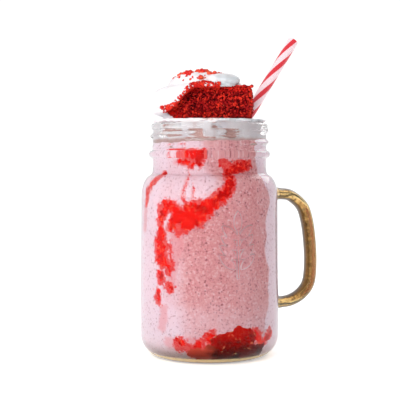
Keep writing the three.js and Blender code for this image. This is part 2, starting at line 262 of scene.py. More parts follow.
def mesh_object(name: str, points: Points, faces: Sequence[Sequence[int]]) -> Piece:
    """A smooth-shaded object from points in millimetres.

    Args:
        name: Name of the object.
        points: Points in the frame, in millimetres.
        faces: Corner numbers of each face.

    Returns:
        The new object, linked to the scene.
    """
    mesh = bpy.data.meshes.new(name)
    corners = [list(map(int, face)) for face in faces]
    mesh.from_pydata((np.asarray(points).reshape(-1, 3) * MM).tolist(), [], corners)
    mesh.update()
    mesh.shade_smooth()
    return linked(name, mesh)


def from_bmesh(name: str, made: bmesh.types.BMesh) -> Piece:
    """A smooth-shaded object from a bmesh, which is used up."""
    mesh = bpy.data.meshes.new(name)
    made.to_mesh(mesh)
    made.free()
    mesh.shade_smooth()
    return linked(name, mesh)


def patch(name: str, points: Points) -> Piece:
    """An open sheet of small squares, to scatter pieces over.

    Args:
        name: Name of the object.
        points: Array of rows, columns and coordinates.

    Returns:
        The new object.
    """
    rows, columns, _ = points.shape
    corner = (np.arange(rows - 1)[:, None] * columns + np.arange(columns - 1)).ravel()
    faces = np.stack([corner, corner + 1, corner + columns + 1, corner + columns], -1)
    return mesh_object(name, points, faces.tolist())


def part_of(name: str, obj: Piece, keep: np.ndarray) -> Piece:
    """Copies the chosen faces of a piece as an open patch.

    Args:
        name: Name of the patch.
        obj: The piece.
        keep: For each face of the piece, whether the patch has it.

    Returns:
        The patch.
    """
    chosen = [tuple(face.vertices) for face, kept in zip(obj.data.polygons, keep) if kept]
    used = sorted({corner for face in chosen for corner in face})
    place = {corner: i for i, corner in enumerate(used)}
    faces = [[place[corner] for corner in face] for face in chosen]
    return mesh_object(name, read_points(obj)[used], faces)


def round_body(name: str, rings: Points, low: Points, high: Points) -> Piece:
    """A closed body from rings that run anticlockwise, each seen from outside below the next.

    Args:
        name: Name of the object.
        rings: Array of rings, columns and coordinates.
        low: The point that closes the first ring.
        high: The point that closes the last ring.

    Returns:
        The new object.
    """
    rows, columns, _ = rings.shape
    here = np.arange(columns)
    there = (here + 1) % columns
    faces: list[Sequence[int]] = []
    for row in range(rows - 1):
        base, above = row * columns, (row + 1) * columns
        faces.extend(np.stack([base + here, base + there, above + there, above + here], -1).tolist())
    bottom, top = rows * columns, rows * columns + 1
    last = (rows - 1) * columns
    faces.extend([bottom, int(b), int(a)] for a, b in zip(here, there))
    faces.extend([last + int(a), last + int(b), top] for a, b in zip(here, there))
    points = np.vstack([rings.reshape(-1, 3), [low], [high]])
    return mesh_object(name, points, faces)


def turned_body(name: str, profile: np.ndarray, columns: int) -> Piece:
    """A closed body of revolution whose profile starts and ends on the axis.

    Args:
        name: Name of the object.
        profile: Pairs of radius and height, from the lowest middle to the highest.
        columns: How many steps the turn has.

    Returns:
        The new object.
    """
    rings = ring_points(*spun(profile, full_turn(columns)))
    return round_body(name, rings, on_axis(profile[0][1]), on_axis(profile[-1][1]))


def globe(columns: int, rows: int) -> tuple[np.ndarray, np.ndarray]:
    """Angles round the axis and latitudes of a globe's rings, in radians and without its poles.

    Args:
        columns: Steps round the axis.
        rows: Steps from pole to pole.

    Returns:
        Two arrays of rings by columns.
    """
    latitudes = math.pi * (np.arange(1, rows) / rows - 0.5)
    return np.broadcast_arrays(full_turn(columns)[None, :], latitudes[:, None])


def oval(name: str, halves: Sequence[float], place: Points, turn: float, columns: int, rows: int) -> Piece:
    """A closed oval of three half sizes, turned round its own upright axis.

    Args:
        name: Name of the object.
        halves: Half sizes across, deep and up.
        place: Middle of the oval in the serving.
        turn: Turn round Z in degrees.
        columns: Steps round.
        rows: Steps from pole to pole.

    Returns:
        The new object, in the frame.
    """
    around, latitude = globe(columns, rows)
    ball = ring_points(np.cos(latitude), np.sin(latitude), around)
    rings = turned(ball * np.array(halves), turn)
    up = on_axis(halves[2])
    return round_body(name, serving(rings + place), serving(place - up), serving(place + up))


def bar_body(name: str, path: Points, sides: Points, ups: Points, columns: int) -> Piece:
    """A closed bar along a path, given by its half widths in two directions at each point.

    Args:
        name: Name of the object.
        path: Points along the middle.
        sides: Vector to one side at each point, as long as the half width.
        ups: Vector square to it at each point, as long as the half height.
        columns: Steps round the bar.

    Returns:
        The new object.
    """
    angles = full_turn(columns)
    rings = (
        path[:, None, :]
        + np.cos(angles)[None, :, None] * sides[:, None, :]
        + np.sin(angles)[None, :, None] * ups[:, None, :]
    )
    return round_body(name, rings, path[0], path[-1])


def settled(obj: Piece) -> Piece:
    """Turns an object's modifiers into plain mesh.

    Args:
        obj: Object with live modifiers.

    Returns:
        The same object with none.
    """
    graph = bpy.context.evaluated_depsgraph_get()
    mesh = bpy.data.meshes.new_from_object(obj.evaluated_get(graph))
    obj.modifiers.clear()
    old = obj.data
    obj.data = mesh
    mesh.name = obj.name
    bpy.data.meshes.remove(old)
    return obj


class Cut(Enum):
    """How one body changes another."""

    JOIN = "UNION"
    TAKE_AWAY = "DIFFERENCE"
    KEEP_SHARED = "INTERSECT"


def combine(obj: Piece, tool: Piece, cut: Cut) -> Piece:
    """Joins or cuts a body with another, which is used up.

    Args:
        obj: Body that is changed.
        tool: Body that is used up.
        cut: What is done.

    Returns:
        The changed body.
    """
    modifier = obj.modifiers.new("cut", "BOOLEAN")
    modifier.operation = cut.value
    modifier.solver = "MANIFOLD"
    modifier.object = tool
    settled(obj)
    bpy.data.objects.remove(tool)
    return obj


def remeshed(obj: Piece, voxel: float, smoothing: int = 0) -> Piece:
    """Melts overlapping closed shells into one even skin.

    Args:
        obj: Object to be melted.
        voxel: Size of the skin's squares.
        smoothing: How many times the skin is smoothed.

    Returns:
        The same object.
    """
    melt = obj.modifiers.new("melt", "REMESH")
    melt.mode = "VOXEL"
    melt.voxel_size = voxel * MM
    melt.use_smooth_shade = True
    if smoothing:
        soften = obj.modifiers.new("soften", "SMOOTH")
        soften.factor = 0.5
        soften.iterations = smoothing
    return settled(obj)


def joined(name: str, objects: Sequence[Piece]) -> Piece:
    """One object that holds the meshes of several, which are used up.

    Args:
        name: Name of the new object.
        objects: The objects.

    Returns:
        The new object.
    """
    made = bmesh.new()
    for obj in objects:
        made.from_mesh(obj.data)
        bpy.data.objects.remove(obj)
    return from_bmesh(name, made)


def read_points(obj: Piece) -> Points:
    """The object's points in millimetres."""
    flat = np.zeros(len(obj.data.vertices) * 3)
    obj.data.vertices.foreach_get("co", flat)
    return flat.reshape(-1, 3) / MM


def read_normals(obj: Piece) -> Points:
    """The outward directions at the object's points."""
    flat = np.zeros(len(obj.data.vertices) * 3)
    obj.data.vertices.foreach_get("normal", flat)
    return flat.reshape(-1, 3)


def write_points(obj: Piece, points: Points) -> None:
    """Moves the object's points to places in millimetres."""
    obj.data.vertices.foreach_set("co", (points * MM).ravel())
    obj.data.update()


def write_field(obj: Piece, name: str, values: np.ndarray) -> None:
    """Stores a number at each point, under a name, for the object's material to read."""
    layer = obj.data.attributes.new(name, "FLOAT", "POINT")
    layer.data.foreach_set("value", np.asarray(values, dtype=np.float32))


def socket_of(sockets: Any, key: str | int) -> Socket:
    """Finds a socket by its identifier, or else by its name or number.

    Args:
        sockets: A node's inputs or outputs.
        key: Identifier, name or number.

    Returns:
        The socket.
    """
    for socket in sockets:
        if socket.identifier == key:
            return socket
    return sockets[key]


class Signal:
    """A number that flows through a node tree, so that maths on it reads as plain expressions."""

    def __init__(self, tree: "Tree", socket: Socket) -> None:
        """Wraps an output socket of a tree."""
        self.tree = tree
        self.socket = socket

    def __add__(self, other: "Signal | float") -> "Signal":
        """Sum."""
        return self.tree.maths("ADD", self, other)

    def __radd__(self, other: float) -> "Signal":
        """Sum with the number first."""
        return self.tree.maths("ADD", other, self)

    def __sub__(self, other: "Signal | float") -> "Signal":
        """Difference."""
        return self.tree.maths("SUBTRACT", self, other)

    def __rsub__(self, other: float) -> "Signal":
        """Difference with the number first."""
        return self.tree.maths("SUBTRACT", other, self)

    def __mul__(self, other: "Signal | float") -> "Signal":
        """Product."""
        return self.tree.maths("MULTIPLY", self, other)

    def __rmul__(self, other: float) -> "Signal":
        """Product with the number first."""
        return self.tree.maths("MULTIPLY", other, self)

    def wrapped(self) -> "Signal":
        """The part after the decimal point."""
        return self.tree.maths("FRACT", self, 0.0)

    def largest(self, other: "Signal | float") -> "Signal":
        """The larger of two numbers."""
        return self.tree.maths("MAXIMUM", self, other)

    def step(self, low: float, high: float) -> "Signal":
        """A soft step from 0 at low to 1 at high; low may be the larger."""
        inputs = {"Value": self, "From Min": low, "From Max": high, "To Min": 0.0, "To Max": 1.0}
        settings = {"interpolation_type": "SMOOTHSTEP"}
        if low > high:
            inputs.update({"From Min": high, "From Max": low, "To Min": 1.0, "To Max": 0.0})
        return self.tree.number("ShaderNodeMapRange", settings, inputs, "Result")


class Tree:
    """Adds nodes to one node tree."""

    def __init__(self, tree: bpy.types.NodeTree) -> None:
        """Takes a tree and empties it."""
        self.tree = tree
        tree.nodes.clear()

    def node(
        self, kind: str, settings: Settings | None = None, inputs: Inputs | None = None
    ) -> bpy.types.Node:
        """Adds one node.

        Args:
            kind: The node's type.
            settings: Its properties, set first.
            inputs: Values or links of its sockets.

        Returns:
            The node.
        """
        made = self.tree.nodes.new(kind)
        for key, value in (settings or {}).items():
            setattr(made, key, value)
        for key, value in (inputs or {}).items():
            self.feed(socket_of(made.inputs, key), value)
        return made

    def feed(self, socket: Socket, value: Any) -> None:
        """Links an input socket to a Signal or an output socket, or sets its plain value."""
        if isinstance(value, Signal):
            value = value.socket
        if isinstance(value, Socket):
            self.tree.links.new(value, socket)
        else:
            socket.default_value = value

    def number(self, kind: str, settings: Settings, inputs: Inputs, output: str | int = 0) -> Signal:
        """Adds a node and returns one of its outputs as a number."""
        return Signal(self, socket_of(self.node(kind, settings, inputs).outputs, output))

    def maths(self, operation: str, first: Any, second: Any) -> Signal:
        """Adds a Math node."""
        return self.number("ShaderNodeMath", {"operation": operation}, {0: first, 1: second})


class Paint(Tree):
    """A material's node tree with the nodes that finishes share."""

    def __init__(self, name: str) -> None:
        """Makes an empty material of this name."""
        self.material = bpy.data.materials.new(name)
        self.material.use_nodes = True
        super().__init__(self.material.node_tree)
        self.place = self.node("ShaderNodeTexCoord").outputs["Object"]

    def noise(
        self, size: float, detail: float = 2.0, rough: float = 0.5, warp: float = 0.0, seed: float = 0.0
    ) -> Signal:
        """Noise from 0 to 1.

        Args:
            size: Width of its swells in millimetres.
            detail: How many finer layers it has.
            rough: Strength of each layer against the last.
            warp: How far it is warped.
            seed: Any number; the same seed gives the same noise.

        Returns:
            The noise.
        """
        inputs = {
            "Vector": self.place,
            "W": seed,
            "Scale": 1 / (size * MM),
            "Detail": detail,
            "Roughness": rough,
            "Distortion": warp,
        }
        return self.number("ShaderNodeTexNoise", {"noise_dimensions": "4D"}, inputs)

    def spots(self, size: float, radius: float, share: float) -> Signal:
        """A mask of round spots, one in some of the cells of a loose grid.

        Args:
            size: Width of a cell in millimetres.
            radius: Radius of a spot against the cell.
            share: Share of the cells that have a spot.

        Returns:
            1 in a spot and 0 outside.
        """
        inputs = {"Vector": self.place, "Scale": 1 / (size * MM)}
        cells = self.node("ShaderNodeTexVoronoi", {"feature": "F1"}, inputs)
        split = self.node("ShaderNodeSeparateColor", {}, {0: cells.outputs["Color"]})
        chosen = Signal(self, split.outputs[0]).step(share + 0.01, share - 0.01)
        grown = Signal(self, split.outputs[1]) * radius
        near = Signal(self, cells.outputs["Distance"]) - grown
        return near.step(0.02, -0.06) * chosen

    def stored(self, name: str) -> Signal:
        """The number that a mesh stores under a name."""
        node = self.node("ShaderNodeAttribute", {"attribute_name": name})
        return Signal(self, node.outputs["Fac"])

    def blend(self, share: Any, first: Any, second: Any) -> Socket:
        """Mixes two colours.

        Args:
            share: How much of the second.
            first: Colour or socket.
            second: Colour or socket.

        Returns:
            The mixed colour's socket.
        """
        inputs = {"Factor_Float": share, "A_Color": first, "B_Color": second}
        node = self.node("ShaderNodeMix", {"data_type": "RGBA"}, inputs)
        return socket_of(node.outputs, "Result_Color")

    def coats(self, ground: Any, *coats: tuple[Any, Any]) -> Socket:
        """Lays coats over a ground colour.

        Args:
            ground: Colour or socket.
            *coats: For each coat, in order, how much of it shows and its colour.

        Returns:
            The last colour's socket.
        """
        for share, colour in coats:
            ground = self.blend(share, ground, colour)
        return ground

    def split_place(self) -> tuple[Signal, Signal, Signal]:
        """The place on the object as three numbers, in metres."""
        outputs = self.node("ShaderNodeSeparateXYZ", {}, {0: self.place}).outputs
        return Signal(self, outputs[0]), Signal(self, outputs[1]), Signal(self, outputs[2])

    def bump(self, height: Signal, depth: float, strength: float = 1.0) -> Socket:
        """A bump of a depth in millimetres where the height goes from 0 to 1."""
        inputs = {"Strength": strength, "Distance": depth * MM, "Height": height}
        return self.node("ShaderNodeBump", {}, inputs).outputs["Normal"]

    def shader(self, **values: Any) -> Socket:
        """One Principled shader, its sockets named with underscores for spaces."""
        inputs = {key.replace("_", " "): value for key, value in values.items()}
        return self.node("ShaderNodeBsdfPrincipled", {}, inputs).outputs[0]

    def surface(self, shader: Socket) -> Material:
        """Ends the tree in a shader and returns the material."""
        self.node("ShaderNodeOutputMaterial", {}, {"Surface": shader})
        return self.material

    def finish(self, **values: Any) -> Material:
        """Ends the tree in one shader, made from the sockets' values, and returns the material."""
        return self.surface(self.shader(**values))


@dataclass(frozen=True)
class PressedGlass:
    """Clear pressed glass; on its thick parts, the handle and the foot, the warm surroundings seen through
    them are painted in golden brown, with painted highlights and painted shade.
    """

    clear: Tone = tone(252, 253, 253)
    # painted shade: the dark outline that the clear glass shows at its silhouette
    painted_edge_shade: Tone = tone(98, 84, 102)
    # painted shade along the steep sides of the sprig's leaves
    raised: Tone = tone(226, 214, 222)
    # painted reflection: the warm surroundings seen through the thick clear glass, painted golden brown
    painted_amber: Tone = tone(206, 158, 92)
    # painted highlight
    painted_highlight_gold: Tone = tone(255, 228, 162)
    # painted shade
    painted_shade_brown: Tone = tone(48, 24, 6)
    sheen: Tone = (0.16, 0.16, 0.16, 1.0)
    # painted reflection and painted shade on the foot: a gold band with a dark line low down
    painted_foot_gold: Tone = tone(196, 170, 116)
    painted_foot_shade: Tone = tone(66, 48, 30)
    handle_start: float = 40.5
    handle_full: float = 43.5
    upper_bend: tuple[float, float] = (83.0, 89.0)
    lower_bend: tuple[float, float] = (38.0, 32.0)
    # heights of the foot's painted tint, its painted opaque band and its painted dark line
    painted_foot_tint: tuple[float, float] = (3.6, 2.16)
    painted_foot_band: tuple[float, float] = (4.0, 3.0)
    painted_foot_shade_line: tuple[float, float] = (1.9, 0.8)

    def material(self) -> Material:
        """Builds the material: glass, and over it painted gold and brown on the thick parts, which stand in
        for the warm surroundings seen through them and for their light and shade.
        """
        paint = Paint("pressed_glass")
        across, _, up = paint.split_place()
        handle = across.step(self.handle_start * MM, self.handle_full * MM)
        grazing = paint.node("ShaderNodeLayerWeight", {}, {"Blend": 0.5})
        edge = Signal(paint, grazing.outputs["Facing"])
        streaks = paint.noise(2.6, 3.0, 0.6, 0.4, seed=6.0)
        # the place across the bar, with the streaks, sets where the handle's painted highlight line and
        # painted shade fall
        bar = paint.stored("bar") + (streaks - 0.5) * 0.35
        bends = self.height_step(up, self.upper_bend).largest(self.height_step(up, self.lower_bend))
        outline = paint.stored("outline").step(0.08, 0.5)
        # the foot's painted golden brown, with painted highlight streaks
        streaked = paint.blend(streaks.step(0.4, 0.6), self.painted_amber, self.painted_highlight_gold)
        plain = paint.coats(
            self.clear,
            # painted shade towards the glass's silhouette, where it turns away from the eye
            (edge.step(0.72, 0.97), self.painted_edge_shade),
            # painted shade along the sprig's outlines
            (outline * 0.7, self.raised),
            (self.height_step(up, self.painted_foot_tint), streaked),
        )
        stipple = paint.noise(1.1, 1.0) * handle
        waves = paint.noise(14.0, 1.0, seed=3.0) * 0.4
        glass = paint.shader(
            # the handle's colour is painted: a golden-brown painted reflection, painted highlights and
            # painted shade
            Base_Color=paint.blend(handle, plain, self.gold(paint, bar, edge, streaks, bends)),
            Roughness=outline * 0.3,
            IOR=1.5,
            Specular_Tint=self.sheen,
            Transmission_Weight=1.0,
            Coat_Weight=outline.largest(handle * 0.12),
            Coat_Roughness=0.12,
            Normal=paint.bump(stipple + waves, 0.12, 0.6),
        )
        # opaque painted colour: on the foot a painted gold band with a painted dark line low down, on the
        # handle painted shade
        low = self.height_step(up, self.painted_foot_shade_line).largest(streaks.step(0.56, 0.66) * 0.7)
        gilt = paint.blend(low, self.painted_foot_gold, self.painted_foot_shade)
        thick = paint.shader(Base_Color=paint.blend(handle, gilt, self.painted_shade_brown), Roughness=0.25)
        # painted shade: dark lines along the handle's bends and at its silhouette
        line = paint.maths("ABSOLUTE", bar - 0.25, 0.0).step(0.22, 0.05) * bends * 0.75
        dark = line.largest(edge.step(0.3, 0.6) * streaks.step(0.2, 0.5) * 0.75)
        # where the opaque painted colour covers the glass: the foot's band and the handle's painted dark
        # lines
        seen = (self.height_step(up, self.painted_foot_band) * 0.75).largest(dark * handle)
        mixed = paint.node("ShaderNodeMixShader", {}, {0: seen, 1: glass, 2: thick})
        return paint.surface(mixed.outputs[0])

    @staticmethod
    def height_step(up: Signal, span: tuple[float, float]) -> Signal:
        """A soft step between two heights in millimetres."""
        return up.step(span[0] * MM, span[1] * MM)

    def gold(self, paint: Paint, bar: Signal, edge: Signal, streaks: Signal, bends: Signal) -> Socket:
        """The handle's painted colour: a painted reflection in golden brown, painted highlights in pale
        streaks and in a line along its middle, and painted shade in its bends and along its edges.

        Args:
            paint: The material's tree.
            bar: Place across the handle's bar, -1 to 1.
            edge: How far the surface turns away from the eye.
            streaks: Noise of the streaks.
            bends: Mask of the handle's two bends.

        Returns:
            The colour.
        """
        # painted reflection in golden brown, then painted highlights (pale streaks and the middle line) and
        # painted shade (dark streaks in the bends, the bar's sides and its silhouette)
        return paint.coats(
            self.painted_amber,
            (streaks.step(0.5, 0.7) * 0.6, self.painted_highlight_gold),
            (streaks.step(0.5, 0.38) * bends * 0.9, self.painted_shade_brown),
            (bar.step(-0.15, 0.15) * bar.step(0.7, 0.45) * 0.8, self.painted_highlight_gold),
            (bar.step(-0.55, -0.8).largest(bar.step(0.66, 0.88)) * 0.95, self.painted_shade_brown),
            (edge.step(0.55, 0.95) * 0.75, self.painted_shade_brown),
        )


@dataclass(frozen=True)
class Milkshake:
    """Thick pink drink with dark specks of fruit, bubbles and a film of syrup, with painted light in paler
    bands at its sides and paler streaks of drink behind.
    """

    deep: Tone = tone(226, 156, 158)
    soft: Tone = tone(232, 172, 176)
    # pale drink, and painted light in the bands at the sides of the front
    pale: Tone = tone(254, 234, 246)
    film: Tone = tone(236, 34, 34)
    bright_film: Tone = tone(248, 96, 82)
    smear: Tone = tone(236, 150, 158)
    speck: Tone = tone(158, 74, 88)
    bubble: Tone = tone(248, 222, 228)

    def material(self) -> Material:
        """Builds the material."""
        paint = Paint("milkshake")
        clouds = paint.noise(22.0, 3.0, 0.55, 0.6)
        ragged = paint.noise(5.0, 4.0, 0.6, 0.8, seed=9.0) - 0.5
        fretted = paint.noise(1.7, 4.0, 0.75, 0.6, seed=13.0) - 0.5
        grain = paint.noise(1.3, 2.0, 0.65, seed=5.0)
        # painted light in the pale bands at the sides of the front, paler drink in the streaks behind
        band = (paint.stored("pale") + ragged * 0.5 + fretted * 0.3).step(0.0, 1.0)
        inner = 1.0 - band * 0.85
        film = paint.stored("film")
        smeared = (paint.stored("smear") + ragged * 4.0 + fretted * 3.0).step(1.8, -0.8)
        filmed = (film + ragged * 4.0 + fretted * 7.5).step(2.3, 0.8)
        stain = paint.blend(fretted.step(-0.1, 0.15), self.film, self.bright_film)
        colour = paint.coats(
            self.deep,
            (clouds.step(0.32, 0.68), self.soft),
            (band * 0.9, self.pale),
            (grain.step(0.5, 0.68) * 0.6, self.bubble),
            (grain.step(0.46, 0.3) * 0.5, self.speck),
            (paint.spots(1.4, 0.42, 0.55) * inner * 0.65, self.speck),
            (paint.spots(2.7, 0.27, 0.4) * inner * 0.75, self.speck),
            (paint.spots(2.1, 0.3, 0.35) * 0.7, self.bubble),
            (smeared * 0.55, self.smear),
            (filmed * 0.9, stain),
            (paint.spots(2.4, 0.36, 0.5) * film.step(5.5, 0.5) * 0.85, self.film),
        )
        return paint.finish(
            Base_Color=colour,
            Roughness=0.6,
            Specular_IOR_Level=0.0,
            Subsurface_Weight=0.15,
            Subsurface_Radius=(1.0, 0.5, 0.45),
            Subsurface_Scale=0.0015,
            Normal=paint.bump(grain, 0.08),
        )


@dataclass(frozen=True)
class Syrup:
    """Wet fruit syrup with fibres of pulp, darker where it lies thick and pale where it thins out."""

    name: str
    light: Tone
    deep: Tone
    pulp: Tone
    thinned: Tone = tone(228, 84, 62)

    def material(self) -> Material:
        """Builds the material."""
        paint = Paint(self.name)
        clouds = paint.noise(6.0, 4.0, 0.65, 0.5)
        fibres = paint.noise(2.6, 4.0, 0.7, 0.8, seed=4.0)
        patchy = clouds.step(0.56, 0.44)
        colour = paint.coats(
            self.light,
            (clouds.step(0.5, 0.62) * 0.7, self.deep),
            (fibres.step(0.55, 0.62) * (patchy * 0.45 + 0.3), self.pulp),
            (fibres.step(0.45, 0.37) * 0.5, self.deep),
            (fibres.step(0.56, 0.46) * paint.stored("thick") * 0.6, self.deep),
            (paint.stored("thin") * 0.85, self.thinned),
        )
        return paint.finish(
            Base_Color=colour,
            Roughness=clouds * 0.2 + 0.3,
            Specular_IOR_Level=0.0,
            Subsurface_Weight=0.05,
            Subsurface_Radius=(1.0, 0.12, 0.08),
            Subsurface_Scale=0.001,
            Normal=paint.bump(fibres, 0.2),
        )


class SyrupKind(Enum):
    """The two syrups: bright where it is thin on the wall, dark where it has pooled."""

    BRIGHT = Syrup("bright_syrup", tone(252, 26, 20), tone(186, 4, 10), tone(255, 124, 90))
    DARK = Syrup("dark_syrup", tone(124, 8, 4), tone(38, 0, 0), tone(150, 20, 10))


@dataclass(frozen=True)
class BerryFlesh:
    """Wet red flesh of a strawberry, darker low down, with painted highlights."""

    top: Tone = tone(200, 8, 4)
    low: Tone = tone(96, 0, 0)
    # painted highlight
    painted_glint: Tone = tone(250, 120, 84)

    def material(self) -> Material:
        """Builds the material."""
        paint = Paint("berry_flesh")
        _, _, up = paint.split_place()
        mottle = paint.noise(2.4, 4.0, 0.65)
        glint = paint.noise(1.5, 2.0, seed=4.0)
        colour = paint.coats(
            self.low,
            ((up * 90.0 + mottle * 3.0).step(2.1, 3.2), self.top),
            # painted highlights: small pale glints
            (glint.step(0.58, 0.68) * 0.75, self.painted_glint),
        )
        return paint.finish(
            Base_Color=colour,
            Roughness=mottle * 0.2 + 0.2,
            Specular_IOR_Level=0.0,
            Subsurface_Weight=0.05,
            Subsurface_Radius=(1.0, 0.15, 0.1),
            Subsurface_Scale=0.001,
            Normal=paint.bump(paint.noise(0.8, 2.0), 0.2),
        )


@dataclass(frozen=True)
class BerrySeed:
    """Small straw-coloured seeds."""

    light: Tone = tone(228, 176, 96)
    dark: Tone = tone(176, 96, 48)

    def material(self) -> Material:
        """Builds the material."""
        paint = Paint("berry_seed")
        colour = paint.blend(paint.noise(0.9), self.light, self.dark)
        return paint.finish(Base_Color=colour, Roughness=0.35, Normal=paint.bump(paint.noise(0.3), 0.03))


@dataclass(frozen=True)
class Cream:
    """Soft whipped cream, faintly pink where the drink has mixed into it, with painted shade in the grooves
    of its folds and beside the cake, and shaded on the dollop.
    """

    light: Tone = tone(230, 226, 228)
    cool: Tone = tone(212, 204, 209)
    # the drink's real pink stain, and painted shade in the grooves and beside the cake
    stain_and_shade: Tone = tone(190, 140, 130)
    shaded: Tone = tone(186, 194, 198)

    def material(self) -> Material:
        """Builds the material."""
        paint = Paint("whipped_cream")
        clouds = paint.noise(9.0, 3.0, 0.5, 0.4)
        froth = paint.noise(0.9, 3.0, 0.6, seed=8.0)
        # the stain mask carries the drink's real stain and painted shade in the grooves and beside the cake
        stain = (paint.stored("stain") + (paint.noise(3.0, 3.0, seed=2.0) - 0.5) * 0.6).step(0.25, 0.85)
        colour = paint.coats(
            self.light,
            (clouds.step(0.35, 0.7), self.cool),
            (paint.stored("shade"), self.shaded),
            (stain * 0.85, self.stain_and_shade),
        )
        return paint.finish(
            Base_Color=colour,
            Roughness=froth * 0.2 + 0.35,
            Subsurface_Weight=0.3,
            Subsurface_Radius=(1.0, 0.8, 0.7),
            Subsurface_Scale=0.002,
            Normal=paint.bump(froth, 0.08),
        )


@dataclass(frozen=True)
class Sponge:
    """Red sponge cake: painted shade in its pores, bright on its crumbs, with painted light along its top
    and its left slope, painted orange light on its right end and painted highlights in small specks.
    """

    # painted shade in the pores
    pore_shade: Tone = tone(48, 0, 4)
    crumb: Tone = tone(112, 4, 10)
    # bright crumbs, and painted light along the top and the left slope
    bright: Tone = tone(204, 18, 12)
    # painted orange light on the right end
    painted_end_light: Tone = tone(214, 56, 34)
    # painted highlights: small glints on the crumb
    speck: Tone = tone(226, 104, 78)

    def material(self) -> Material:
        """Builds the material."""
        paint = Paint("red_sponge")
        mottle = paint.noise(1.0, 4.0, 0.75)
        fine = paint.noise(0.7, 3.0, 0.6, seed=6.0)
        edge = (paint.stored("edge") + (mottle - 0.5) * 0.9).step(0.3, 0.9)
        end = (paint.stored("end") + (mottle - 0.5) * 0.6).step(0.4, 0.95)
        hollow = (paint.stored("pit") + (fine - 0.5) * 0.5).step(0.3, 0.8)
        # painted highlights in small specks
        specks = paint.noise(0.8, 2.0, 0.6, seed=12.0).step(0.62, 0.7)
        colour = paint.coats(
            self.crumb,
            (mottle.step(0.48, 0.7) * 0.6, self.bright),
            (specks * 0.6, self.speck),
            # painted light along the top and the left slope
            (edge * 0.8, self.bright),
            # painted orange light on the right end
            (end * 0.75, self.painted_end_light),
            # painted shade in the pores
            (hollow * 0.9, self.pore_shade),
        )
        return paint.finish(
            Base_Color=colour,
            Roughness=fine * 0.3 + 0.6,
            Specular_IOR_Level=0.05,
            Subsurface_Weight=0.1,
            Subsurface_Radius=(1.0, 0.2, 0.15),
            Subsurface_Scale=0.001,
            Normal=paint.bump(fine + mottle * 0.6, 0.35),
        )


@dataclass(frozen=True)
class DryCrumb:
    """Red crumbs and bits of dried fruit, some of them orange."""

    name: str
    red: Tone
    orange: Tone
    dark: Tone

    def material(self) -> Material:
        """Builds the material."""
        paint = Paint(self.name)
        broad = paint.noise(3.2, 2.0)
        fine = paint.noise(0.8, 3.0, 0.6, seed=2.0)
        mixed = (broad.step(0.42, 0.62), self.orange)
        colour = paint.coats(self.red, mixed, (fine.step(0.5, 0.72) * 0.7, self.dark))
        return paint.finish(
            Base_Color=colour,
            Roughness=fine * 0.2 + 0.5,
            Specular_IOR_Level=0.15,
            Normal=paint.bump(fine, 0.25),
        )


class CrumbKind(Enum):
    """The three lots of crumbs: sprinkled on the cream, spilt beside the cake and on the cake."""

    SPRINKLED = DryCrumb("dry_crumb", tone(206, 34, 34), tone(238, 92, 60), tone(130, 14, 16))
    SPILT = DryCrumb("spilt_crumb", tone(186, 16, 14), tone(226, 52, 30), tone(80, 4, 8))
    CAKE = DryCrumb("cake_crumb", tone(158, 10, 12), tone(214, 44, 26), tone(64, 0, 6))


@dataclass(frozen=True)
class StripedPaper:
    """White paper straw with red stripes that wind round it."""

    white: Tone = tone(240, 212, 218)
    red: Tone = tone(210, 40, 54)
    edge: Tone = tone(238, 130, 142)
    stripes: int = 3
    lead: float = 63.0
    red_share: float = 0.44
    stripe_start: float = 99.6
    seam_start: float = 100.31

    def material(self) -> Material:
        """Builds the material."""
        paint = Paint("striped_paper")
        chart = paint.node("ShaderNodeUVMap", {"uv_map": "around_along"})
        split = paint.node("ShaderNodeSeparateXYZ", {}, {0: chart.outputs[0]})
        around, along = Signal(paint, split.outputs[0]), Signal(paint, split.outputs[1])
        wound = around * float(self.stripes) - along * (self.stripes / self.lead)
        fibre = paint.noise(0.7, 3.0)
        swing = (wound + self.stripe_start).wrapped() + (fibre - 0.5) * 0.03
        stripe = swing.step(0.015, 0.05) * swing.step(self.red_share + 0.035, self.red_share)
        halo = swing.step(0.0, 0.03) * swing.step(self.red_share + 0.08, self.red_share + 0.03)
        colour = paint.coats(self.white, (halo * 0.5, self.edge), (stripe, self.red))
        seam = (around - along * (1 / self.lead) + self.seam_start).wrapped()
        ridge = seam.step(0.0, 0.012) * seam.step(0.03, 0.018)
        return paint.finish(
            Base_Color=colour,
            Roughness=fibre * 0.15 + 0.35,
            Coat_Weight=0.25,
            Coat_Roughness=0.3,
            Normal=paint.bump(fibre * 0.3 + ridge, 0.05),
        )


@dataclass(frozen=True)
class Ground:
    """Plain pale floor, lit from below as a light table is."""

    colour: Tone = tone(250, 250, 250)
    glow: float = 0.42

    def material(self) -> Material:
        """Builds the material."""
        paint = Paint("pale_floor")
        fine = paint.noise(1.5, 2.0)
        return paint.finish(
            Base_Color=self.colour,
            Roughness=fine * 0.1 + 0.6,
            Specular_IOR_Level=0.2,
            Emission_Color=(1.0, 1.0, 1.0, 1.0),
            Emission_Strength=self.glow,
        )


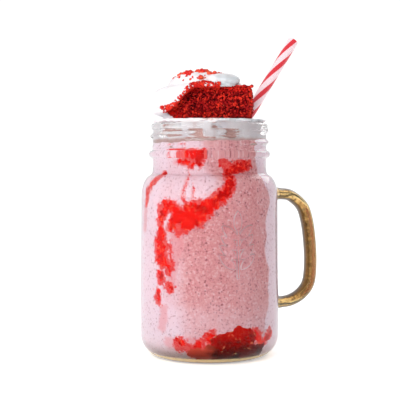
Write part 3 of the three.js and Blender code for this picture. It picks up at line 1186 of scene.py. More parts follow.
class Grower(Tree):
    """A Geometry Nodes tree that scatters small pieces over a surface."""

    def __init__(self, name: str, numbers: dict[str, float]) -> None:
        """Makes an empty tree with named inputs.

        Args:
            name: Name of the tree.
            numbers: Names of its number inputs and their first values.
        """
        group = bpy.data.node_groups.new(name, "GeometryNodeTree")
        super().__init__(group)
        group.interface.new_socket("Geometry", in_out="INPUT", socket_type="NodeSocketGeometry")
        group.interface.new_socket("Geometry", in_out="OUTPUT", socket_type="NodeSocketGeometry")
        for key, value in numbers.items():
            made = group.interface.new_socket(key, in_out="INPUT", socket_type="NodeSocketFloat")
            made.default_value = value
        self.given = self.node("NodeGroupInput").outputs

    def random(self, low: Any, high: Any, seed: int) -> Signal:
        """A random number between two others, drawn anew for each point."""
        inputs = {"Min_001": low, "Max_001": high, "Seed": seed}
        return self.number("FunctionNodeRandomValue", {"data_type": "FLOAT"}, inputs, "Value_001")

    def first(self, kind: str, inputs: Inputs, **settings: Any) -> Socket:
        """Adds a node and returns its first output."""
        return self.node(kind, settings, inputs).outputs[0]


@dataclass(frozen=True)
class Scatter:
    """Small pieces spread over a surface: how many, how large and how rough."""

    name: str
    per_square_cm: float
    smallest: float
    largest: float
    flat: float = 0.8
    stretch: float = 1.2
    roughness: float = 0.5
    sink: float = 0.0
    seed: int = 1
    faces: int = 2

    def tree(self, material: Material) -> Grower:
        """Builds the node tree.

        Args:
            material: Finish of the pieces.

        Returns:
            The tree.
        """
        numbers = {
            "Density": self.per_square_cm * 1e4,
            "Smallest": self.smallest * MM,
            "Largest": self.largest * MM,
            "Roughness": self.roughness,
            "Sink": self.sink,
        }
        grow = Grower(self.name, numbers)
        given = grow.given
        spread = grow.node(
            "GeometryNodeDistributePointsOnFaces",
            {"distribute_method": "RANDOM"},
            {"Mesh": given["Geometry"], "Density": given["Density"], "Seed": self.seed},
        ).outputs
        size = grow.random(given["Smallest"], given["Largest"], self.seed + 1)
        scale = grow.first("ShaderNodeCombineXYZ", {0: size, 1: size * self.stretch, 2: size * self.flat})
        depth = size * grow.maths("MULTIPLY", given["Sink"], -1.0)
        down = grow.first("ShaderNodeVectorMath", {0: spread["Normal"], "Scale": depth}, operation="SCALE")
        sunk = grow.first("GeometryNodeSetPosition", {0: spread["Points"], "Offset": down})
        turn = grow.random(0.0, 2 * math.pi, self.seed + 2)
        spin = grow.first("ShaderNodeCombineXYZ", {2: turn})
        lean = {0: spread["Rotation"], 1: grow.first("FunctionNodeEulerToRotation", {0: spin})}
        facing = grow.first("FunctionNodeRotateRotation", lean, rotation_space="LOCAL")
        lump = grow.first("GeometryNodeMeshIcoSphere", {"Radius": 1.0, "Subdivisions": self.faces})
        pieces = {"Points": sunk, "Instance": lump, "Rotation": facing, "Scale": scale}
        placed = grow.first("GeometryNodeInstanceOnPoints", pieces)
        real = grow.first("GeometryNodeRealizeInstances", {0: placed})
        swell = grow.node("ShaderNodeTexNoise", {}, {"Scale": 0.9 / (self.largest * MM), "Detail": 1.0})
        centred = {0: swell.outputs["Color"], 1: (0.5, 0.5, 0.5)}
        uneven = grow.first("ShaderNodeVectorMath", centred, operation="SUBTRACT")
        reach = grow.maths("MULTIPLY", given["Largest"], given["Roughness"]) * 3.0
        push = grow.first("ShaderNodeVectorMath", {0: uneven, "Scale": reach}, operation="SCALE")
        rough = grow.first("GeometryNodeSetPosition", {0: real, "Offset": push})
        smooth = grow.first("GeometryNodeSetShadeSmooth", {0: rough})
        dressed = grow.first("GeometryNodeSetMaterial", {0: smooth, "Material": material})
        grow.node("NodeGroupOutput", {}, {0: dressed})
        return grow

    def over(self, ground: Piece, material: Material) -> Piece:
        """Scatters the pieces over an object, which is used up.

        Args:
            ground: Surface that carries the pieces.
            material: Finish of the pieces.

        Returns:
            An object that holds only the pieces.
        """
        grow = self.tree(material)
        modifier = ground.modifiers.new("scatter", "NODES")
        modifier.node_group = grow.tree
        for item in grow.tree.interface.items_tree:
            if item.in_out == "INPUT" and item.socket_type == "NodeSocketFloat":
                modifier[item.identifier] = item.default_value
        settled(ground)
        ground.name = self.name
        ground.data.name = self.name
        return ground


def dress(obj: Piece, material: Material, slot: str, *nodes: str) -> Piece:
    """Gives a finished piece its material and its body, and hides the frame's nodes that it stands for.

    Args:
        obj: The piece.
        material: Its finish.
        slot: Not used.
        *nodes: Nodes of the frame that it replaces.

    Returns:
        The piece.
    """
    obj.data.materials.clear()
    obj.data.materials.append(material)
    obj.data.polygons.foreach_set("material_index", np.zeros(len(obj.data.polygons), dtype=np.int32))
    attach(obj, BODY)
    if nodes:
        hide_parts(*nodes)
    LOG.info("%s: %d faces", obj.name, len(obj.data.polygons))
    return obj


@dataclass
class Hollow:
    """The inside of the jar, which shapes all that fills it."""

    floor: float = 6.5
    heel: float = 10.0
    body: float = 36.2
    neck: float = 29.8
    shoulder_start: float = 90.0
    shoulder_rise: float = 13.5

    def profile(self, grow: float, top: float) -> list[Pair]:
        """Radius and height of the hollow up to a height.

        Args:
            grow: How far the profile is moved out into the glass.
            top: Height at which it ends.

        Returns:
            Pairs from the middle of the floor to the middle of the top.
        """
        neck = self.neck + grow
        centre = (self.body - self.heel, self.floor + self.heel)
        wall = self.body + grow - neck
        return [
            (0.0, self.floor - grow),
            *arc(centre, (self.heel + grow, self.heel + grow), -90, 0, 12),
            *arc((neck, self.shoulder_start), (wall, self.shoulder_rise), 0, 90, 14),
            (neck, top),
            (0.0, top),
        ]

    def radius(self, height: np.ndarray) -> np.ndarray:
        """Radius of the hollow at each height."""
        drop = np.clip(self.floor + self.heel - height, 0, self.heel)
        low = self.body - self.heel + np.sqrt(self.heel**2 - drop**2)
        rise = np.clip((height - self.shoulder_start) / self.shoulder_rise, 0, 1)
        return low - (self.body - self.neck) * (1 - np.sqrt(1 - rise**2))

    def block(self, grow: float, top: float) -> Piece:
        """The hollow as a solid body, to cut with."""
        return turned_body("hollow", refined(self.profile(grow, top), 3.0), 240)


HOLLOW = Hollow()


@dataclass
class Leaf:
    """One raised leaf: its middle on the wall, its lean and its half sizes."""

    across: float
    height: float
    lean: float
    half_length: float = 6.0
    half_width: float = 2.6
    stand: float = 0.8

    def relief(self, across: np.ndarray, height: np.ndarray) -> np.ndarray:
        """How far the leaf stands out at places on the wall.

        Args:
            across: Distances along the wall from the middle of the sprig.
            height: Heights above the table.

        Returns:
            Heights of the relief.
        """
        right, up = across - self.across, height - self.height
        along = (right * math.sin(self.lean) + up * math.cos(self.lean)) / self.half_length
        aside = (right * math.cos(self.lean) - up * math.sin(self.lean)) / self.half_width
        width = np.clip(1 - along**2, 0, 1) ** 0.75
        share = np.clip(1 - (aside / np.maximum(width, 1e-6)) ** 2, 0, 1)
        vein = 0.3 * np.exp(-((aside / 0.14) ** 2)) * (np.abs(along) < 0.85)
        return np.where(np.abs(along) < 1, self.stand * share**0.4 * (1 - vein), 0.0)


@dataclass
class Jar:
    """The pressed glass jar with its thread, collar bead, sprig of leaves and handle."""

    height: float = 134.0
    foot_radius: float = 28.0
    heel: float = 12.0
    body: float = 40.2
    body_top: float = 39.6
    body_middle: float = 40.0
    shoulder_start: float = 92.0
    shoulder_rise: float = 12.5
    neck: float = 33.0
    neck_start: float = 106.5
    collar_height: float = 116.2
    collar_bead: float = 2.2
    lip_start: float = 131.2
    lip_stand: float = 0.8
    lip_round: float = 1.4
    thread_pitch: float = 6.35
    thread_start: float = 120.0
    thread_turns: float = 1.6
    thread_start_angle: float = 150.0
    thread_stand: float = 1.45
    sprig_low: float = 51.0
    sprig_high: float = 85.0
    sprig_half_angle: float = 19.0
    leaf_pairs: int = 4
    leaf_lean: float = 0.85
    inner_round: float = 1.2
    inner_top: float = 133.0
    coarse_step: float = 1.6
    fine_step: float = 0.5
    handle_root: float = 38.0
    handle_half_width: float = 5.25
    handle_half_thickness: float = 3.4
    handle_flare: float = 0.45
    handle_flare_length: float = 9.0
    handle_rows: int = 150
    handle_columns: int = 40
    handle_course: Sequence[Pair] = (
        (38.0, 92.6), (46.0, 92.5), (53.0, 91.2), (60.5, 85.0), (63.8, 76.6), (65.7, 64.6),
        (66.4, 50.6), (65.0, 38.7), (60.0, 32.2), (53.0, 28.6), (46.0, 27.7), (38.0, 27.7),
    )

    def outer_profile(self) -> list[Pair]:
        """Radius and height of the outside, from the foot to the lip."""
        bead = (self.collar_bead, self.collar_bead)
        shoulder = (self.body_top - self.neck, self.shoulder_rise)
        rounding = (self.lip_round, self.lip_round)
        lip = (self.neck + self.lip_stand - self.lip_round, self.height - self.lip_round)
        return [
            (0.0, 0.35),
            (self.foot_radius - 5, 0.35),
            (self.foot_radius - 3.5, 0.0),
            (self.foot_radius, 0.0),
            *arc((self.foot_radius, self.heel), (self.heel, self.heel), -72, 0, 16),
            (self.body, self.body_middle),
            *arc((self.neck, self.shoulder_start), shoulder, 0, 80, 16),
            (self.neck + 0.35, self.neck_start - 1.0),
            (self.neck, self.neck_start + 1.0),
            (self.neck, self.collar_height - self.collar_bead - 0.7),
            *arc((self.neck, self.collar_height), bead, -80, 80, 14),
            (self.neck, self.collar_height + self.collar_bead + 0.7),
            (self.neck, self.lip_start - self.lip_stand),
            *arc((self.neck, self.lip_start), (self.lip_stand, self.lip_stand), -60, 0, 3),
            *arc(lip, rounding, 0, 90, 8),
        ]

    def inner_profile(self) -> list[Pair]:
        """Radius and height of the inside, from the lip down to the floor."""
        inside = HOLLOW.profile(0.0, self.inner_top)[:-1]
        centre = (HOLLOW.neck + self.inner_round, self.height - self.inner_round)
        return [*arc(centre, (self.inner_round, self.inner_round), 90, 180, 6), *reversed(inside)]

    def leaves(self) -> list[Leaf]:
        """The sprig: one leaf at the top and pairs down the stem."""
        half = Leaf.half_length
        step = (self.sprig_high - self.sprig_low - 3 * half) / (self.leaf_pairs - 1)
        made = [Leaf(0.0, self.sprig_high - half, 0.0)]
        for i in range(self.leaf_pairs):
            for side in (-1, 1):
                aside = side * self.body * (0.15 - 0.012 * i)
                made.append(Leaf(aside, self.sprig_low + half + step * i, side * self.leaf_lean))
        return made

    def sprig_relief(self, across: np.ndarray, height: np.ndarray) -> np.ndarray:
        """How far the sprig stands out at places on the wall."""
        relief = np.zeros_like(across)
        for leaf in self.leaves():
            relief = np.maximum(relief, leaf.relief(across, height))
        inside = (height > self.sprig_low - 3) & (height < self.sprig_high - 8)
        stem = 0.75 * np.clip(1 - (across / 0.9) ** 2, 0, 1) ** 0.5
        return np.maximum(relief, np.where(inside, stem, 0.0))

    def thread_relief(self, angle: np.ndarray, height: np.ndarray) -> np.ndarray:
        """How far the screw thread stands out at places on the neck."""
        relief = np.zeros_like(height)
        first = (angle - math.radians(self.thread_start_angle)) / (2 * math.pi) % 1.0
        for lap in range(2):
            turn = first + lap
            middle = self.thread_start + self.thread_pitch * turn
            fade = smoothstep(0, 0.12, turn) * smoothstep(0, 0.12, self.thread_turns - turn)
            ridge = np.exp(-(np.abs((height - middle) / 1.25) ** 2.6))
            relief = np.maximum(relief, self.thread_stand * fade * ridge)
        return relief

    def columns(self) -> np.ndarray:
        """Angles of the wall's columns, closer together where the sprig is."""
        half = self.sprig_half_angle
        fine = np.radians(np.linspace(-half, half, 110, endpoint=False))
        coarse = np.radians(np.linspace(half, 360 - half, 184, endpoint=False))
        return math.radians(-90.0) + np.concatenate([fine, coarse])

    def wall(self) -> Piece:
        """The jar without its handle, as one closed body."""
        outer = refined(self.outer_profile(), self.coarse_step)
        rows: list[np.ndarray] = [outer[0]]
        for start, end in itertools.pairwise(outer):
            middle = (start[1] + end[1]) / 2
            narrow = self.sprig_low - 4 < middle < self.sprig_high + 1 or middle > self.neck_start + 8
            step = self.fine_step if narrow else self.coarse_step
            count = max(1, math.ceil(math.dist(start, end) / step))
            rows.extend(start + (end - start) * i / count for i in range(1, count + 1))
        profile = np.vstack([np.array(rows), refined(self.inner_profile(), 4.0)])
        radius, height, angle = spun(profile, self.columns())
        outside = np.arange(len(radius))[:, None] < len(rows) - 1
        across = (angle + math.pi / 2) * self.body
        sprig = self.sprig_relief(across, height) * outside
        neck = outside & (height > self.collar_height)
        thread = np.where(neck, self.thread_relief(angle, height), 0.0)
        rings = ring_points(radius + sprig + thread, height, angle)
        return round_body("jar_glass", rings, on_axis(profile[0][1]), on_axis(profile[-1][1]))

    def swell(self, distance: np.ndarray) -> np.ndarray:
        """How much the handle's bar is thickened at distances from the jar's axis."""
        near = np.clip(1 - (distance - self.handle_root) / self.handle_flare_length, 0, 1)
        return 1 + self.handle_flare * near**1.6

    def handle_line(self) -> tuple[np.ndarray, np.ndarray]:
        """The middle of the handle's bar and its heading there, each as pairs of across and up."""
        line = smooth_path(self.handle_course, self.handle_rows)
        heading = np.gradient(line, axis=0)
        return line, heading / np.linalg.norm(heading, axis=1, keepdims=True)

    def handle(self) -> Piece:
        """The handle, whose roots swell into the wall."""
        line, heading = self.handle_line()
        swell = self.swell(line[:, 0])
        path = np.stack([line[:, 0], np.zeros(len(line)), line[:, 1]], -1)
        sides = np.zeros_like(path)
        sides[:, 1] = self.handle_half_width * swell
        ups = np.stack([heading[:, 1], np.zeros(len(line)), -heading[:, 0]], -1)
        ups = -ups * (self.handle_half_thickness * swell)[:, None]
        return bar_body("handle", path, sides, ups, self.handle_columns)

    def across_bar(self, points: Points) -> np.ndarray:
        """Places across the handle's bar, -1 on its inner side and 1 on its outer side."""
        line, heading = self.handle_line()
        outward = np.stack([-heading[:, 1], heading[:, 0]], -1)
        share = np.zeros(len(points))
        chosen = np.flatnonzero(points[:, 0] > self.handle_root)
        flat = points[chosen][:, [0, 2]]
        nearest = np.argmin(((flat[:, None] - line[None]) ** 2).sum(-1), axis=1)
        half = self.handle_half_thickness * self.swell(line[nearest, 0])
        share[chosen] = ((flat - line[nearest]) * outward[nearest]).sum(-1) / half
        return share

    def sprig_slope(self, points: Points, step: float) -> np.ndarray:
        """How steep the sprig's relief is at points, measured over a step each way."""
        across = (np.arctan2(points[:, 1], points[:, 0]) + math.pi / 2) * self.body
        height = points[:, 2]
        outside = np.hypot(points[:, 0], points[:, 1]) > self.body_top - 1
        right = self.sprig_relief(across + step, height) - self.sprig_relief(across - step, height)
        up = self.sprig_relief(across, height + step) - self.sprig_relief(across, height - step)
        return np.hypot(right, up) / (2 * step) * outside

    def build(self) -> list[Piece]:
        """Makes and dresses the jar."""
        glass = combine(self.wall(), self.handle(), Cut.JOIN)
        points = read_points(glass)
        # steepness of the sprig, which sets its painted shade, its roughness and its coat
        write_field(glass, "outline", self.sprig_slope(points, 0.35))
        # the place across the handle's bar, which sets its painted highlight line and painted shade
        write_field(glass, "bar", self.across_bar(points))
        glass.data.shade_smooth()
        glass.data.set_sharp_from_angle(angle=math.radians(50))
        return [dress(glass, PressedGlass().material(), "jar_glass", "jar")]


@dataclass
class Stroke:
    """A run of syrup on the inside of the wall: angles, heights and half widths along it."""

    course: Sequence[tuple[float, float, float]]

    def distance(self, angle: np.ndarray, height: np.ndarray) -> np.ndarray:
        """Distance from places on the wall to the edge of the stroke, negative inside.

        Args:
            angle: Angles from the front of the serving.
            height: Heights above the table.

        Returns:
            Distances.
        """
        best = np.full(len(angle), 1e3)
        points = [np.array([math.radians(a) * HOLLOW.body, z, r]) for a, z, r in self.course]
        right = np.radians(angle) * HOLLOW.body
        for start, end in itertools.pairwise(points):
            way = end[:2] - start[:2]
            length = max(float(way @ way), 1e-9)
            share = np.clip(((right - start[0]) * way[0] + (height - start[1]) * way[1]) / length, 0, 1)
            reach = start[2] + (end[2] - start[2]) * share
            gap = np.hypot(right - start[0] - share * way[0], height - start[1] - share * way[1]) - reach
            best = np.minimum(best, gap)
        return best

    def beads(self, gap: float = 1.1) -> np.ndarray:
        """Places along the stroke, a gap apart, with their half widths, in the serving."""
        length = 0.0
        for (angle, height, _), (next_angle, next_height, _) in itertools.pairwise(self.course):
            length += math.hypot(math.radians(next_angle - angle) * HOLLOW.body, next_height - height)
        angle, height, half = smooth_path(self.course, max(2, math.ceil(length / gap))).T
        return np.column_stack([polar(angle, HOLLOW.radius(height), height), half])


def edge_distance(strokes: Sequence[Stroke], angle: np.ndarray, height: np.ndarray) -> np.ndarray:
    """Distance from places on the wall to the nearest edge of the strokes, negative inside one."""
    return np.min([stroke.distance(angle, height) for stroke in strokes], axis=0)


MAIN_RUN = [
    Stroke(((20, 106, 1.8), (18.5, 101, 2.1), (16, 96.5, 2.3), (9, 92, 2.6), (1, 89, 2.8),
            (-6, 86, 4.6), (-13, 83.4, 6.3), (-20, 80.6, 5.0), (-26, 82.6, 2.3), (-33, 87, 2.4),
            (-39, 87.5, 2.8), (-43, 83, 1.8), (-45.5, 77, 0.8), (-46, 71, 2.4), (-47, 65, 3.2),
            (-46.5, 59, 2.9), (-44, 55, 1.5))),
    Stroke(((-27, 83, 2.6), (-32, 79, 2.2), (-34.5, 75.5, 1.4))),
    Stroke(((-20, 79, 3.0), (-22.5, 75.5, 1.8))),
    Stroke(((-42, 57, 1.6), (-38, 55, 1.7), (-36, 52, 1.0))),
]
DROPS = [
    Stroke(((22, 107, 2.6), (28, 108.5, 2.8), (36, 109.5, 2.8), (46, 110.5, 1.3))),
    Stroke(((-6, 116.8, 1.6), (-12, 116.4, 2.0), (-18, 116.2, 1.8), (-26, 116.4, 1.0))),
    Stroke(((-28, 118.4, 0.6), (-36, 118.2, 0.9), (-45, 118.4, 0.5))),
    Stroke(((-9, 114.4, 1.2), (-12, 112.4, 1.4), (-10, 111.0, 0.8))),
    Stroke(((-20, 112.8, 0.9), (-25, 112.2, 1.1), (-32, 112.6, 0.7))),
    Stroke(((-17, 110.4, 0.6), (-19, 109.0, 0.5))),
    Stroke(((-46, 48.8, 2.3), (-45, 46.8, 1.8))),
    Stroke(((-35.5, 42.4, 1.6), (-37, 43.6, 1.0))),
    Stroke(((-49, 39.5, 0.6), (-49.5, 36.5, 1.0), (-49, 33.6, 0.6))),
    Stroke(((-52, 104.5, 0.5), (-60, 100.5, 0.8), (-66, 95.5, 0.8), (-69, 88, 0.5))),
    Stroke(((-27, 12.8, 1.7), (-23, 11.4, 1.1))),
    Stroke(((62, 15.0, 2.2), (57, 12.6, 1.6), (52, 10.4, 1.0))),
    Stroke(((2, 17.0, 1.3), (-1, 15.5, 1.2), (3, 13.0, 1.5))),
    Stroke(((42, 17.5, 1.2), (46, 13.6, 1.5), (51, 10.2, 1.3))),
    Stroke(((-8, 12.6, 0.8), (-12, 10.8, 0.9))),
]
FILM_ONLY = [
    Stroke(((-45, 86, 1.4), (-47, 78, 1.0), (-44, 70, 1.6), (-40, 60, 0.8), (-38, 50, 0.2))),
    Stroke(((-30, 10.5, 0.6), (-20, 9.0, 0.8), (-6, 8.8, 1.2), (6, 9.5, 1.8))),
    Stroke(((14, 112, 1.8), (20, 109, 2.0))),
    Stroke(((-21, 106, -1.5), (-20, 99, -1.1), (-23, 94, -1.2), (-21, 89, -0.6))),
    Stroke(((-16, 101, -1.5), (-14, 96, -1.3), (-16, 91, -0.9))),
    Stroke(((-36, 68, -0.9), (-34, 62, -0.5), (-33, 55, -0.9), (-34, 48, -1.5))),
    Stroke(((-30, 78, 2.4), (-26, 74, 1.6))),
]
SMEARS = [
    Stroke(((-22, 104, 0.2), (-20, 99, 0.6), (-24, 94, 0.4), (-21, 90, 0.4))),
    Stroke(((-28, 72, 3.2), (-30, 64, 3.6), (-33, 55, 3.0), (-34, 46, 2.4))),
    Stroke(((-38, 112, 0.6), (-28, 111, 1.4), (-16, 110, 0.8))),
    Stroke(((-42, 30, 2.2), (-44, 20, 2.4))),
    Stroke(((-38, 12, 2.6), (-18, 12, 3.0), (2, 12, 3.4))),
    Stroke(((-56, 103, 2.0), (-64, 98, 2.6), (-70, 88, 2.2), (-72, 74, 1.8))),
    Stroke(((120, 96, 2.4), (132, 88, 4.2), (128, 76, 3.0), (136, 62, 2.2))),
    Stroke(((-150, 101, 2.0), (-158, 90, 3.4), (-150, 80, 2.2))),
]
NECK_FOLDS = [
    Stroke(((-60, 128.6, 0.9), (-52, 129.2, 1.7), (-42, 128.9, 1.5), (-31, 129.0, 1.0))),
    Stroke(((-22, 129.4, 1.2), (-10, 128.8, 0.9))),
    Stroke(((-58, 133.2, 0.8), (-44, 134.0, 1.1), (-33, 133.8, 0.8))),
    Stroke(((4, 131.2, 0.5), (18, 129.6, 0.8), (34, 128.6, 0.5))),
    Stroke(((10, 127.0, 0.5), (24, 126.2, 0.7), (40, 126.4, 0.5))),
    Stroke(((-30, 125.4, 0.4), (-12, 125.8, 0.7), (6, 125.2, 0.4))),
    Stroke(((70, 130.6, 0.6), (92, 129.0, 1.4), (118, 128.2, 0.8))),
    Stroke(((130, 131.4, 0.8), (152, 129.8, 1.3), (176, 129.0, 0.6))),
    Stroke(((-84, 131.0, 0.8), (-104, 129.6, 1.4), (-126, 130.2, 0.8))),
    Stroke(((-140, 127.4, 0.7), (-160, 126.6, 1.2), (-176, 127.2, 0.7))),
]


@dataclass
class Drink:
    """The milkshake, which fills the jar to an uneven line under the cream."""

    level: float = 123.0
    grow: float = 0.06
    columns: int = 400
    row_step: float = 0.75

    def level_at(self, angle: np.ndarray) -> np.ndarray:
        """Height of the drink's edge at angles from the front."""
        spots = polar(angle, 30.0, 0.0).reshape(-1, 3)
        ragged = Noise(22).layered(spots, 14.0, 4, 0.65).reshape(np.shape(angle))
        return self.level + 0.9 * np.sin(np.radians(angle) + 0.4) + 1.7 * ragged

    def pale_bands(self, angle: np.ndarray, height: np.ndarray) -> np.ndarray:
        """Where the drink looks paler: painted light in bands at both sides of the front, also paler high
        up left of the front and towards the bottom, and paler drink in streaks behind.
        """
        sway = 3.0 * np.sin(height / 8.5) + 1.6 * np.sin(height / 3.1 + 1)
        right = smoothstep(56, 59.5, angle + sway)
        left = 0.55 * smoothstep(12, 34, -angle) + 0.45 * smoothstep(36, 58, -angle)
        turn = angle + 14 * smoothstep(98, 112, height)
        above = 0.75 * smoothstep(84, 91, height) * smoothstep(20, 0, turn)
        low = 0.4 * smoothstep(44, 20, height)
        marble = Noise(23).layered(polar(angle, HOLLOW.body, 0.4 * height), 15.0, 4, 0.6)
        sides = np.minimum(np.maximum(right + left, above) + low, 1.0)
        back = smoothstep(95, 120, np.abs(angle))
        return sides * (1 - back) + back * smoothstep(0.0, 0.45, marble)

    def body(self) -> Piece:
        """The drink as a closed body that reaches just into the glass."""
        profile = refined(HOLLOW.profile(self.grow, self.level), self.row_step)
        floor_rows = profile[:, 0] < HOLLOW.body - HOLLOW.heel - 2
        top_rows = (profile[:, 1] > self.level - 0.1) & (profile[:, 0] < HOLLOW.neck - 2)
        keep = ~(floor_rows | top_rows)
        keep[[0, -1]] = True
        profile = profile[keep]
        turn = 360 * np.arange(self.columns) / self.columns - 180
        radius, height, angle = spun(profile, turn)
        lift = smoothstep(112, self.level, height) * (self.level_at(angle) - self.level)
        rings = serving(polar(angle, radius, height + lift))
        return round_body("milkshake_body", rings, on_axis(profile[0][1]), on_axis(self.level))

    def build(self) -> list[Piece]:
        """Makes and dresses the drink."""
        drink = self.body()
        points = from_serving(read_points(drink))
        angle = np.degrees(np.arctan2(points[:, 0], -points[:, 1]))
        height = points[:, 2]
        warp = Noise(21)
        angle = angle + 1.6 * warp.layered(points, 6.0, 3)
        height = height + 0.9 * warp.layered(points + 40, 5.0, 3)
        # painted light at the sides of the front, paler drink in streaks behind
        write_field(drink, "pale", self.pale_bands(angle, height))
        film = edge_distance([*MAIN_RUN, *DROPS, *FILM_ONLY], angle, height)
        write_field(drink, "film", np.clip(film, -6, 12))
        write_field(drink, "smear", np.clip(edge_distance(SMEARS, angle, height), -6, 12))
        return [dress(drink, Milkshake().material(), "milkshake", "milkshake")]


@dataclass
class WallSyrup:
    """Syrup that has run down the inside of the wall, in a main run and separate drops."""

    run_grow: float = 0.16
    drop_grow: float = 0.11
    top: float = 124.0
    voxel: float = 0.42
    ragged: float = 1.7

    def melt(self, name: str, strokes: Sequence[Stroke], grow: float, seed: int) -> Piece:
        """Turns strokes into one ragged skin, flat against the glass.

        Args:
            name: Name of the piece.
            strokes: The strokes.
            grow: How far it reaches into the glass.
            seed: Seed of its ragged edge.

        Returns:
            The piece, not yet dressed.
        """
        beads = np.vstack([stroke.beads() for stroke in strokes])
        balls = [oval("bead", [bead[3]] * 3, bead[:3], 0.0, 14, 9) for bead in beads]
        skin = remeshed(joined(name, balls), self.voxel, 2)
        points = read_points(skin)
        noise = Noise(seed)
        push = self.ragged * (noise.layered(points, 3.2, 3, 0.65) + 0.8 * noise.at(points + 9, 1.5))
        write_points(skin, points + read_normals(skin) * push[:, None])
        combine(skin, HOLLOW.block(grow, self.top), Cut.KEEP_SHARED)
        place = from_serving(read_points(skin))
        write_field(skin, "thick", smoothstep(0, 5, place[:, 0]) * smoothstep(84, 92, place[:, 2]))
        skin.data.shade_smooth()
        skin.data.set_sharp_from_angle(angle=math.radians(45))
        return skin

    def build(self) -> list[Piece]:
        """Makes and dresses the main run and the drops."""
        material = SyrupKind.BRIGHT.value.material()
        run = self.melt("syrup_skin", MAIN_RUN, self.run_grow, 31)
        drops = self.melt("syrup_drops", DROPS, self.drop_grow, 32)
        return [dress(run, material, "red_syrup", "syrup_run"), dress(drops, material, "red_syrup")]


@dataclass
class FloorFruit:
    """The piece of strawberry on the floor of the jar and the dark syrup round it."""

    berry_angle: float = 22.5
    berry_distance: float = 30.5
    berry_height: float = 14.8
    berry_halves: Sequence[float] = (13.5, 11.0, 8.0)
    berry_taper: float = 0.5
    berry_lean: float = 2.5
    berry_grow: float = 0.18
    seed_grow: float = 0.22
    pool_angle: float = 20.0
    pool_distance: float = 27.0
    pool_height: float = 6.0
    pool_halves: Sequence[float] = (21.0, 11.0, 7.0)
    pool_grow: float = 0.15
    top: float = 60.0

    def berry_shape(self, name: str) -> Piece:
        """The strawberry as an oval with a lumpy skin."""
        place = polar(self.berry_angle, self.berry_distance, self.berry_height)
        berry = oval(name, self.berry_halves, place, self.berry_angle, 110, 70)
        points = read_points(berry)
        raised = np.clip((points[:, 2] - place[2]) / self.berry_halves[2], 0, 1)
        tangent = polar(self.berry_angle + 90, 1.0, 0.0)
        drawn_in = ((points - place) @ tangent * self.berry_taper + self.berry_lean) * raised
        points -= drawn_in[:, None] * tangent
        lumps = 1.3 * Noise(41).layered(points, 6.0, 4, 0.65)
        write_points(berry, points + read_normals(berry) * lumps[:, None])
        return berry

    def pool(self) -> Piece:
        """The dark syrup on the floor, thinned out at its left end."""
        place = polar(self.pool_angle, self.pool_distance, self.pool_height)
        pool = oval("syrup_puddle", self.pool_halves, place, self.pool_angle, 140, 60)
        points = read_points(pool)
        ragged = 2.0 * Noise(43).layered(points, 5.0, 4, 0.7)
        write_points(pool, points + read_normals(pool) * ragged[:, None])
        combine(pool, HOLLOW.block(self.pool_grow, self.top), Cut.KEEP_SHARED)
        pool.data.set_sharp_from_angle(angle=math.radians(45))
        points = from_serving(read_points(pool))
        frayed = points[:, 0] + 3 * Noise(44).layered(points, 4.0, 3)
        write_field(pool, "thin", smoothstep(5, -3, frayed))
        return pool

    def build(self) -> list[Piece]:
        """Makes and dresses the strawberry, its seeds and the pool."""
        berry = self.berry_shape("strawberry_flesh")
        combine(berry, HOLLOW.block(self.berry_grow, self.top), Cut.KEEP_SHARED)
        berry.data.set_sharp_from_angle(angle=math.radians(50))
        seed_finish = BerrySeed().material()
        scatter = Scatter("strawberry_seeds", 9.0, 0.35, 0.5, 0.5, 1.7, 0.1, 0.1, seed=5)
        seeds = scatter.over(self.berry_shape("seed_ground"), seed_finish)
        combine(seeds, HOLLOW.block(self.seed_grow, self.top), Cut.KEEP_SHARED)
        pool = self.pool()
        return [
            dress(berry, BerryFlesh().material(), "strawberry", "strawberry"),
            dress(seeds, seed_finish, "strawberry"),
            dress(pool, SyrupKind.DARK.value.material(), "dark_syrup", "syrup_pool"),
        ]


